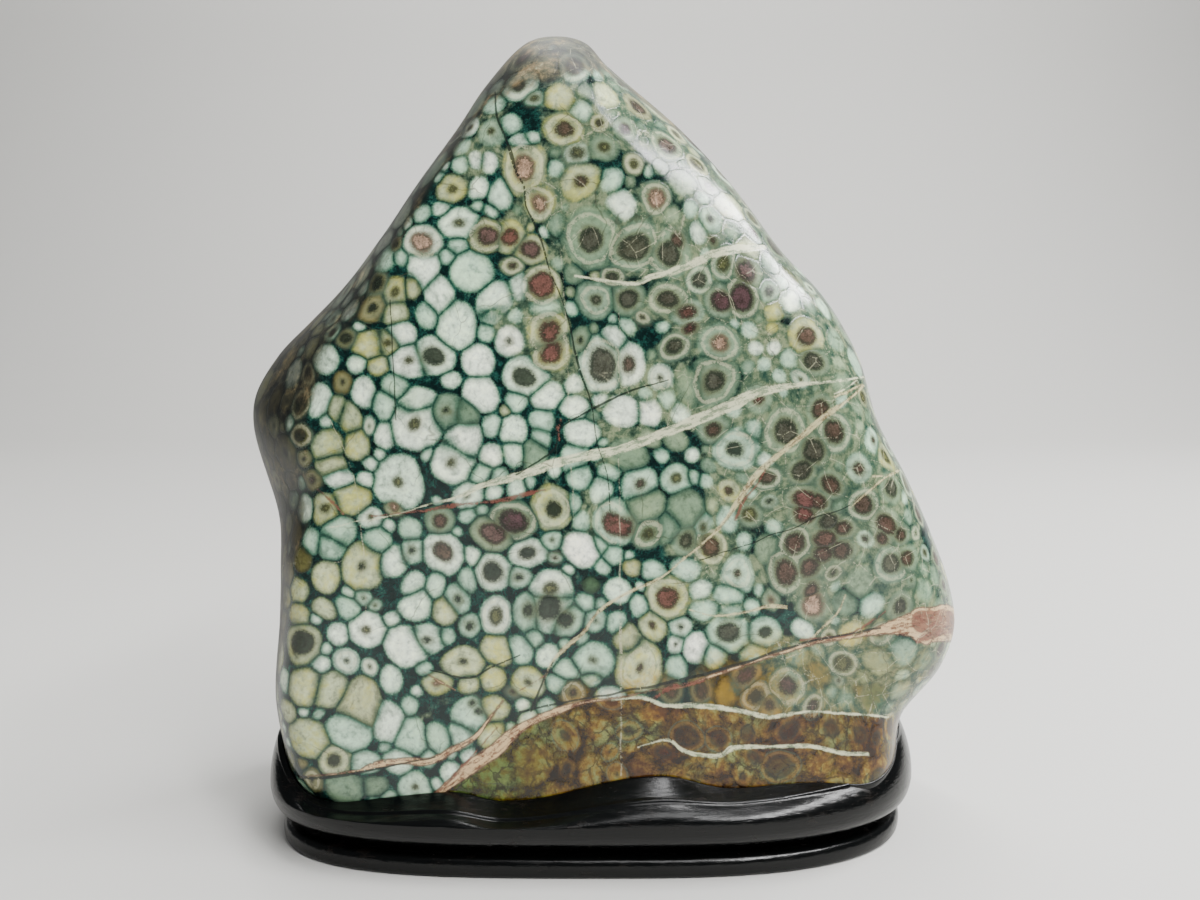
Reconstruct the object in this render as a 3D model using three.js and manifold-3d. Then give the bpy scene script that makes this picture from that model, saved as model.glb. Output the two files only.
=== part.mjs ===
// A polished stone full of round pale "chrysanthemum" cells, standing in the black-lacquered
// wooden stand that was carved to fit it. Millimetres, +Z up. The origin is on the surface that
// the stand rests on, under the middle of the whole object, and the polished face looks along -Y.

import * as THREE from "three";
import { mergeVertices } from "three/addons/utils/BufferGeometryUtils.js";
import Module from "manifold-3d";

// Stone: its outline seen from the front, as [x, z], anticlockwise from the peak.
const STONE_OUTLINE = [
  [-10, 218], [-19, 216.6], [-30, 206], [-39, 193.5], [-52, 176.5], [-68, 156], [-82, 142],
  [-93, 131.5], [-100, 120.5], [-101, 112], [-97.5, 97.5], [-92, 82], [-91, 60], [-91, 34],
  [-85, 16], [-72, 10], [-18, 10], [42, 10], [70, 11], [82, 19], [86, 30.5], [97, 44.5],
  [100.9, 55.5], [99.5, 67], [93, 84], [86.3, 98], [77.6, 114.4], [72, 132], [62.5, 148],
  [50.5, 160.7], [37, 178], [22.5, 193.2], [2, 210.5], [-3.5, 216.2],
];
const STONE_MIDDLE = [2, 105];

// How the outline rolls over into the two faces, by direction from the middle of the stone
// (degrees, 0 = right, 90 = up): width of the front shoulder, its crispness (1 = a flat chamfer,
// 2 = a quarter round, more = squarer), width and crispness of the back shoulder, and the depth
// at which the outline itself lies.
const STONE_SHOULDERS = [
  [0, 15, 2, 30, 2, -1],
  [45, 17, 2, 26, 2, 0],
  [88, 20, 1.9, 24, 2, 0],
  [104, 19, 1.9, 24, 2, 0],
  [122, 11, 1.8, 25, 2, 2],
  [136, 12, 1.6, 28, 2, 4],
  [155, 16, 1.5, 30, 2, 8],
  [170, 26, 1.45, 32, 2, 10],
  [184, 26, 1.45, 32, 2, 9],
  [200, 16, 1.7, 28, 2, 4],
  [220, 18, 2.1, 24, 2.1, 0],
  [238, 11, 3.5, 12, 3.5, 0],
  [304, 11, 3.5, 12, 3.5, 0],
  [320, 25, 2.1, 25, 2.1, 0],
  [336, 23, 1.9, 27, 2, -2],
];

// Faces of the stone: depth of each at the height of the stand's rim, how fast it leans in per
// millimetre of height, and how far it falls away towards x = FACE_SIDE.
const FACE_FOOT_Z = 25;
const FACE_SIDE = 100;
const FRONT_FACE = { depth: 39, lean: 0.085, crown: 4 };
const BACK_FACE = { depth: 38, lean: 0.1, crown: 8 };
// Slow swells of a hand-polished face: height, and the lengths over which they turn.
const SWELLS = [
  { height: 0.9, acrossX: 17, upZ: 23, phase: 0.6 },
  { height: 0.5, acrossX: 11, upZ: -14, phase: 2.1 },
];

// Stand: plan outline of the foot, a rounded oblong that is squarer at its left end.
const FOOT_MIDDLE_X = -1.5;
const FOOT_HALF_LENGTH = 87.5;
const FOOT_HALF_DEPTH = 47;
const CORNER_POWER_RIGHT = 2.8;
const CORNER_POWER_LEFT = 3.5;

// Stand, in section: [distance out from the foot's outline, height], from the underside up over
// the foot's lip, in to the groove, and out to the widest part of the tray.
const TRAY_BULGE = 3.3;
const TRAY_BULGE_Z = 15;
const FOOT_SECTION = [
  [-1, 0], [-0.2, 0.5], [0.1, 2], [0, 3.8], [-0.8, 5], [-2.4, 5.5], [-4.3, 5.8], [-5, 6.7],
  [-4.4, 7.8], [-2.4, 8.4], [0, 8.9], [1.7, 10.2], [2.8, 12.4], [TRAY_BULGE, TRAY_BULGE_Z],
];
// The rim waves round the stone: [direction in plan from the stand's middle, height of the rim at
// the stone, fall of its bevel, run of its bevel, how far out its outer edge lies], -90 the front.
const RIM_WAVE = [
  [-180, 29.5, 1.5, 2.5, 1.2],
  [-170, 29.5, 1.5, 2.5, 1.2],
  [-151, 17.3, 1.5, 5, 0.2],
  [-129, 20, 1.8, 7, -0.2],
  [-117, 18, 1.8, 7.5, -0.4],
  [-68, 25.8, 4.6, 8, -0.4],
  [-51, 21.9, 1.8, 7.5, -0.4],
  [-30, 23.2, 1.8, 6, -0.3],
  [-5, 31.8, 1.5, 3, -0.3],
  [12, 31, 1.5, 3, -0.3],
  [55, 21.5, 2.4, 7, -0.3],
  [86, 23.5, 4, 8, -0.4],
  [115, 19.5, 2, 8, -0.3],
  [158, 27, 1.6, 4, 0.8],
];

const RIM_ROUND = 0.7;
// The uncut block goes on this far in from the rim, and this much up, before its flat middle.
const BLANK_INSIDE = 8;
const BLANK_RISE = 2;

// Clearance between the stone and its seat.
const SEAT_GAP = 0.3;

// Fineness of the meshes.
const OUTLINE_SAMPLES = 720;
const STONE_SIDES = 96;
const STAND_SIDES = 96;
const SHOULDER_RINGS = 6;
const FACE_RINGS = 7;
const RIM_STEPS = 4;

const { cos, sin, PI, abs, pow } = Math;
const degrees = PI / 180;
const mix = THREE.MathUtils.lerp;

// Values of a table of [direction, ...values] at an angle, eased from row to row and round again.
function around(table, angle) {
  const turn = (direction) => THREE.MathUtils.euclideanModulo(direction - table[0][0], 360);
  const at = turn(angle / degrees);
  let row = table.length - 1;
  while (turn(table[row][0]) > at) row -= 1;
  const next = (row + 1) % table.length;
  const start = turn(table[row][0]);
  const end = next === 0 ? 360 : turn(table[next][0]);
  const eased = THREE.MathUtils.smoothstep(at, start, end);
  return table[row].slice(1).map((value, i) => mix(value, table[next][i + 1], eased));
}

// Distance from the stone's middle to its outline at each angle, off a smooth closed curve.
const outlineCurve = new THREE.CatmullRomCurve3(
  STONE_OUTLINE.map(([x, z]) => new THREE.Vector3(x - STONE_MIDDLE[0], z - STONE_MIDDLE[1], 0)),
  true,
  "centripetal",
);
const outlinePolar = outlineCurve
  .getPoints(OUTLINE_SAMPLES)
  .map((p) => ({ angle: THREE.MathUtils.euclideanModulo(Math.atan2(p.y, p.x), 2 * PI), far: p.length() }))
  .sort((p, q) => p.angle - q.angle);

function outlineRadius(angle) {
  const at = THREE.MathUtils.euclideanModulo(angle, 2 * PI);
  const after = outlinePolar.findIndex((p) => p.angle > at);
  const q = outlinePolar[after < 0 ? 0 : after];
  const p = outlinePolar[after <= 0 ? outlinePolar.length - 1 : after - 1];
  const span = THREE.MathUtils.euclideanModulo(q.angle - p.angle, 2 * PI) || 1;
  return mix(p.far, q.far, THREE.MathUtils.euclideanModulo(at - p.angle, 2 * PI) / span);
}

// Depth of the front (side -1) or back (side 1) face over a point of the outline's plane.
function faceDepth(x, z, side) {
  const face = side < 0 ? FRONT_FACE : BACK_FACE;
  const fall = face.lean * (z - FACE_FOOT_Z) + face.crown * pow(x / FACE_SIDE, 2);
  const swell = SWELLS.reduce(
    (sum, s) => sum + s.height * sin(x / s.acrossX + s.phase) * sin(z / s.upZ + side + s.phase),
    0,
  );
  return side * (face.depth - fall + swell);
}

// Share of the face's depth reached a distance in from the outline, as a superellipse.
const shoulderRise = (inward, crispness) => pow(1 - pow(1 - Math.min(inward, 1), crispness), 1 / crispness);

// One ring of the stone. Place 0 is the outline, 1 the top of the shoulder, 2 the middle.
function stoneRing(place, side, grow) {
  return Array.from({ length: STONE_SIDES }, (_, i) => {
    const angle = (2 * PI * i) / STONE_SIDES;
    const [frontWidth, frontCrisp, backWidth, backCrisp, outlineDepth] = around(STONE_SHOULDERS, angle);
    const [width, crispness] = side < 0 ? [frontWidth, frontCrisp] : [backWidth, backCrisp];
    const radius = outlineRadius(angle);
    const inward = place < 1 ? width * (1 - cos((place * PI) / 2)) : mix(width, radius, place - 1);
    const x = STONE_MIDDLE[0] + (radius - inward) * cos(angle);
    const z = STONE_MIDDLE[1] + (radius - inward) * sin(angle);
    const face = faceDepth(x, z, side) + side * grow;
    const y = mix(outlineDepth, face, shoulderRise(inward / width, crispness));
    const spread = (grow * (radius - inward)) / radius;
    return new THREE.Vector3(x + spread * cos(angle), y, z + spread * sin(angle));
  });
}

// Rings of equal length joined in order, closed by a fan to a point at each end.
function skin(first, rings, last) {
  const count = rings[0].length;
  const points = [first, ...rings.flat(), last];
  const at = (ring, i) => 1 + ring * count + (i % count);
  const faces = [];
  for (let i = 0; i < count; i++) {
    faces.push(0, at(0, i + 1), at(0, i));
    for (let ring = 0; ring + 1 < rings.length; ring++) {
      faces.push(at(ring, i), at(ring, i + 1), at(ring + 1, i + 1));
      faces.push(at(ring, i), at(ring + 1, i + 1), at(ring + 1, i));
    }
    faces.push(at(rings.length - 1, i), at(rings.length - 1, i + 1), points.length - 1);
  }
  return new THREE.BufferGeometry().setFromPoints(points).setIndex(faces);
}

// The stone, or with grow above 0 the hollow that it fits with that much room.
function stoneGeometry(grow) {
  const shoulder = Array.from({ length: SHOULDER_RINGS }, (_, i) => (i + 1) / SHOULDER_RINGS);
  const face = Array.from({ length: FACE_RINGS - 1 }, (_, i) => 1 + (i + 1) / FACE_RINGS);
  const inwards = [...shoulder, ...face];
  const rings = [
    ...inwards.toReversed().map((place) => stoneRing(place, 1, grow)),
    stoneRing(0, -1, grow),
    ...inwards.map((place) => stoneRing(place, -1, grow)),
  ];
  const [x, z] = STONE_MIDDLE;
  const middle = (side) => new THREE.Vector3(x, faceDepth(x, z, side) + side * grow, z);
  return skin(middle(1), rings, middle(-1));
}

// A point of the stand's plan, a distance out from the foot's outline.
function planPoint(angle, out) {
  const outline = (at) => {
    const power = mix(CORNER_POWER_LEFT, CORNER_POWER_RIGHT, (1 + cos(at)) / 2);
    const sum = pow(abs(cos(at)) / FOOT_HALF_LENGTH, power) + pow(abs(sin(at)) / FOOT_HALF_DEPTH, power);
    const far = pow(sum, -1 / power);
    return new THREE.Vector2(far * cos(at), far * sin(at));
  };
  const here = outline(angle);
  const along = outline(angle + degrees).sub(outline(angle - degrees)).normalize();
  return new THREE.Vector2(here.x + out * along.y, here.y - out * along.x);
}

// The stand's section in one direction: the foot and groove, then the wall and the bevelled rim.
function standSection(angle) {
  const [rimHeight, fall, run, edgeOut] = around(RIM_WAVE, angle);
  const edgeHeight = rimHeight - fall;
  const section = [...FOOT_SECTION];
  for (let i = 1; i <= RIM_STEPS; i++) {
    const quarter = (i / RIM_STEPS) * (PI / 2);
    section.push([
      mix(TRAY_BULGE, edgeOut, 1 - cos(quarter)),
      mix(TRAY_BULGE_Z, edgeHeight - RIM_ROUND, sin(quarter)),
    ]);
  }
  section.push(
    [edgeOut - RIM_ROUND, edgeHeight],
    [edgeOut - run, rimHeight],
    [edgeOut - run - BLANK_INSIDE, rimHeight + BLANK_RISE],
  );
  return section;
}

// The stand's blank, before the seat is cut into it.
function standBlank() {
  const angles = Array.from({ length: STAND_SIDES }, (_, i) => (2 * PI * i) / STAND_SIDES);
  const sections = angles.map(standSection);
  const rings = sections[0].map((_, level) =>
    angles.map((angle, i) => {
      const [out, height] = sections[i][level];
      const { x, y } = planPoint(angle, out);
      return new THREE.Vector3(FOOT_MIDDLE_X + x, y, height);
    }),
  );
  const topHeight = Math.max(...RIM_WAVE.map((row) => row[1]));
  const middle = (height) => new THREE.Vector3(FOOT_MIDDLE_X, 0, height);
  return skin(middle(0), rings, middle(topHeight));
}

const wasm = await Module();
wasm.setup();

function solidOf(geometry) {
  const bare = geometry.clone();
  bare.deleteAttribute("normal");
  bare.deleteAttribute("uv");
  const merged = mergeVertices(bare);
  return new wasm.Manifold(
    new wasm.Mesh({
      numProp: 3,
      vertProperties: merged.attributes.position.array,
      triVerts: new Uint32Array(merged.index.array),
    }),
  );
}

function geometryOf(solid) {
  const { vertProperties, triVerts } = solid.getMesh();
  const geometry = new THREE.BufferGeometry();
  geometry.setAttribute("position", new THREE.BufferAttribute(vertProperties, 3));
  geometry.setIndex(new THREE.BufferAttribute(triVerts, 1));
  geometry.computeVertexNormals();
  return geometry;
}

// The stone: one piece of grey-green stone, polished to a high gloss.
function makeStone() {
  const finish = new THREE.MeshStandardMaterial({ color: 0x8fa397, roughness: 0.14, metalness: 0 });
  const stone = new THREE.Mesh(stoneGeometry(0), finish);
  stone.geometry.computeVertexNormals();
  stone.name = "stone";
  return stone;
}

// The stand: one block of wood, turned in at a groove between foot and tray, with the seat carved
// out to the shape of the stone.
function makeStand() {
  const finish = new THREE.MeshStandardMaterial({ color: 0x15181a, roughness: 0.3, metalness: 0 });
  const seat = solidOf(stoneGeometry(SEAT_GAP));
  const stand = new THREE.Mesh(geometryOf(solidOf(standBlank()).subtract(seat)), finish);
  stand.name = "stand";
  return stand;
}

const chrysanthemumStone = new THREE.Group();
chrysanthemumStone.add(makeStone(), makeStand());

export default chrysanthemumStone;
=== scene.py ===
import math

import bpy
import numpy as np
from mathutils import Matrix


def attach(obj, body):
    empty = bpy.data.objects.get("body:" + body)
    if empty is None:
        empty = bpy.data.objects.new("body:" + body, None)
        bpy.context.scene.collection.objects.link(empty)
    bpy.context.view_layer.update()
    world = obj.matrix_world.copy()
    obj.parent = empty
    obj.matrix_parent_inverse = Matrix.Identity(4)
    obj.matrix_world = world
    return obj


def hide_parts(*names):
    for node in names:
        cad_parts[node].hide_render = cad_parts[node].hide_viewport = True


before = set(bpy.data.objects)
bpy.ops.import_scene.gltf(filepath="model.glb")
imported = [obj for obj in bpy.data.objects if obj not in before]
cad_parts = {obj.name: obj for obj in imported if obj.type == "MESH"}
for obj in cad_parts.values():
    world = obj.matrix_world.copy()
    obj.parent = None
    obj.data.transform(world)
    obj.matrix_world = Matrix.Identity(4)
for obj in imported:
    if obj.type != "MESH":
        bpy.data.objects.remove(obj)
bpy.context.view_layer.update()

# A polished chrysanthemum stone standing in the black-lacquered stand that was carved to fit it.
# Lengths are millimetres here and become metres in the meshes. Places read off the photograph are
# pixels of its 1200 x 900 frame, and the camera below carries them onto the stone.

MM = 0.001

# The camera: a phone's view from 31 cm, looking 7 degrees down.
FOCAL_PIXELS = 1100.0
FRAME_MIDDLE = (600.0, 450.0)
CAMERA_AT = np.array([0.3, -312.0, 143.0])
CAMERA_DOWN = math.radians(7.0)
SENSOR_MM = 36.0
# Depths y that a ray of the camera is walked through to find the stone's front.
RAY_DEPTHS = np.linspace(-48.0, 14.0, 400)

# The stone's outline seen from the front, as [x, z], anticlockwise from the peak.
STONE_OUTLINE = [
    [-10, 218], [-19, 216.6], [-30, 206], [-39, 193.5], [-52, 176.5], [-68, 156], [-82, 142],
    [-93, 131.5], [-100, 120.5], [-101, 112], [-97.5, 97.5], [-92, 82], [-91, 60], [-91, 34],
    [-85, 16], [-72, 10], [-18, 10], [42, 10], [70, 11], [82, 19], [86, 30.5], [97, 44.5],
    [100.9, 55.5], [99.5, 67], [93, 84], [86.3, 98], [77.6, 114.4], [72, 132], [62.5, 148],
    [50.5, 160.7], [37, 178], [22.5, 193.2], [2, 210.5], [-3.5, 216.2],
]
STONE_MIDDLE = (2.0, 105.0)
# The solids' outline is cut into flats, and the smooth one stays this far inside it.
OUTLINE_INSET = 0.12
# Direction from the middle (degrees, 0 = right, 90 = up), then the width and crispness of the
# front shoulder, the width and crispness of the back shoulder, and the outline's own depth.
STONE_SHOULDERS = [
    [0, 15, 2, 30, 2, -1], [45, 17, 2, 26, 2, 0], [88, 20, 1.9, 24, 2, 0],
    [104, 19, 1.9, 24, 2, 0], [122, 11, 1.8, 25, 2, 2], [136, 12, 1.6, 28, 2, 4],
    [155, 16, 1.5, 30, 2, 8], [170, 26, 1.45, 32, 2, 10], [184, 26, 1.45, 32, 2, 9],
    [200, 16, 1.7, 28, 2, 4], [220, 18, 2.1, 24, 2.1, 0], [238, 11, 3.5, 12, 3.5, 0],
    [304, 11, 3.5, 12, 3.5, 0], [320, 25, 2.1, 25, 2.1, 0], [336, 23, 1.9, 27, 2, -2],
]
# Each face is a plane: its depth at FACE_FOOT_Z, how much it leans in for each millimetre of
# height, and the fall of its crown at FACE_SIDE to the left or right.
FACE_FOOT_Z = 25.0
FACE_SIDE = 100.0
FRONT, BACK = -1, 1
FACES = {
    FRONT: {"depth": 39.0, "lean": 0.085, "crown": 4.0},
    BACK: {"depth": 38.0, "lean": 0.1, "crown": 8.0},
}
# Slow swells of a hand-polished face: height, length across, length up, phase.
SWELLS = [(0.9, 17.0, 23.0, 0.6), (0.5, 11.0, -14.0, 2.1)]

# Direction from the stone's middle, and width of the weathered skin inside the outline there.
# It is widest on the left shoulder and flank, where it also paints shade for the side turned away
# from the light.
SKIN_AND_SHADE_WIDTH = [
    [0, 0.7], [60, 0.9], [92, 4], [115, 8], [136, 9], [155, 15], [170, 23], [184, 21], [200, 11],
    [220, 6], [238, 3], [300, 0.6], [336, 0.7],
]
SKIN_STREAKS_ACROSS = 5.0
SKIN_STREAKS_ROUND = 8.0
# The rust, as x of [none, full]: its left end, the stretch where it reaches up to the long pink
# vein and not only to the pale one below it, and where the stone between the two is paler.
RUST_LEFT_END = (-46, -41)
RUST_WHOLE_STRETCH = (16, 4)
PALE_STRETCH = (38, 62)
# The olive tint: how far below the long pink vein [none, full], where above it is negative, and
# its left end in x.
OLIVE_BELOW_VEIN = (-9, 0.5)
OLIVE_LEFT_END = (-40, 0)
# The skin and its painted shade fade out over these shares of its width.
SKIN_AND_SHADE_FADE = (0.5, 1.4)
# Height of the weathered peak, [none, full], lower by this for each millimetre to the left.
PEAK_SKIN = (201, 210)
PEAK_SLOPE = 0.25

# The stand, as in the solids: plan, section from the underside to the widest part of the tray as
# [out from the foot's outline, height], and the rim's wave round the stone.
FOOT_MIDDLE_X = -1.5
FOOT_HALF_LENGTH = 87.5
FOOT_HALF_DEPTH = 47.0
CORNER_POWER_RIGHT = 2.8
CORNER_POWER_LEFT = 3.5
TRAY_BULGE = 3.3
TRAY_BULGE_Z = 15.0
FOOT_SECTION = [
    [-1, 0], [-0.2, 0.5], [0.1, 2], [0, 3.8], [-0.8, 5], [-2.4, 5.5], [-4.3, 5.8], [-5, 6.7],
    [-4.4, 7.8], [-2.4, 8.4], [0, 8.9], [1.7, 10.2], [2.8, 12.4], [TRAY_BULGE, TRAY_BULGE_Z],
]
# Direction in plan (-90 the front), height of the rim at the stone, fall of its bevel, run of its
# bevel, and how far out its outer edge lies.
RIM_WAVE = [
    [-180, 29.5, 1.5, 2.5, 1.2], [-170, 29.5, 1.5, 2.5, 1.2], [-151, 17.3, 1.5, 5, 0.2],
    [-129, 20, 1.8, 7, -0.2], [-117, 18, 1.8, 7.5, -0.4], [-68, 25.8, 4.6, 8, -0.4],
    [-51, 21.9, 1.8, 7.5, -0.4], [-30, 23.2, 1.8, 6, -0.3], [-5, 31.8, 1.5, 3, -0.3],
    [12, 31, 1.5, 3, -0.3], [55, 21.5, 2.4, 7, -0.3], [86, 23.5, 4, 8, -0.4],
    [115, 19.5, 2, 8, -0.3], [158, 27, 1.6, 4, 0.8],
]
RIM_ROUND = 0.7
# The tray's wall leans in with this power of the height climbed.
WALL_LEAN = 2.2
# The seat: its clearance round the stone, its floor, the height that its walls go down to, and
# how far their upper edge lies under the bevel.
SEAT_GAP = 0.3
SEAT_FLOOR = 8.5
SEAT_WALL_FOOT = 10.5
SEAT_EDGE_DROP = 0.25
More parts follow.
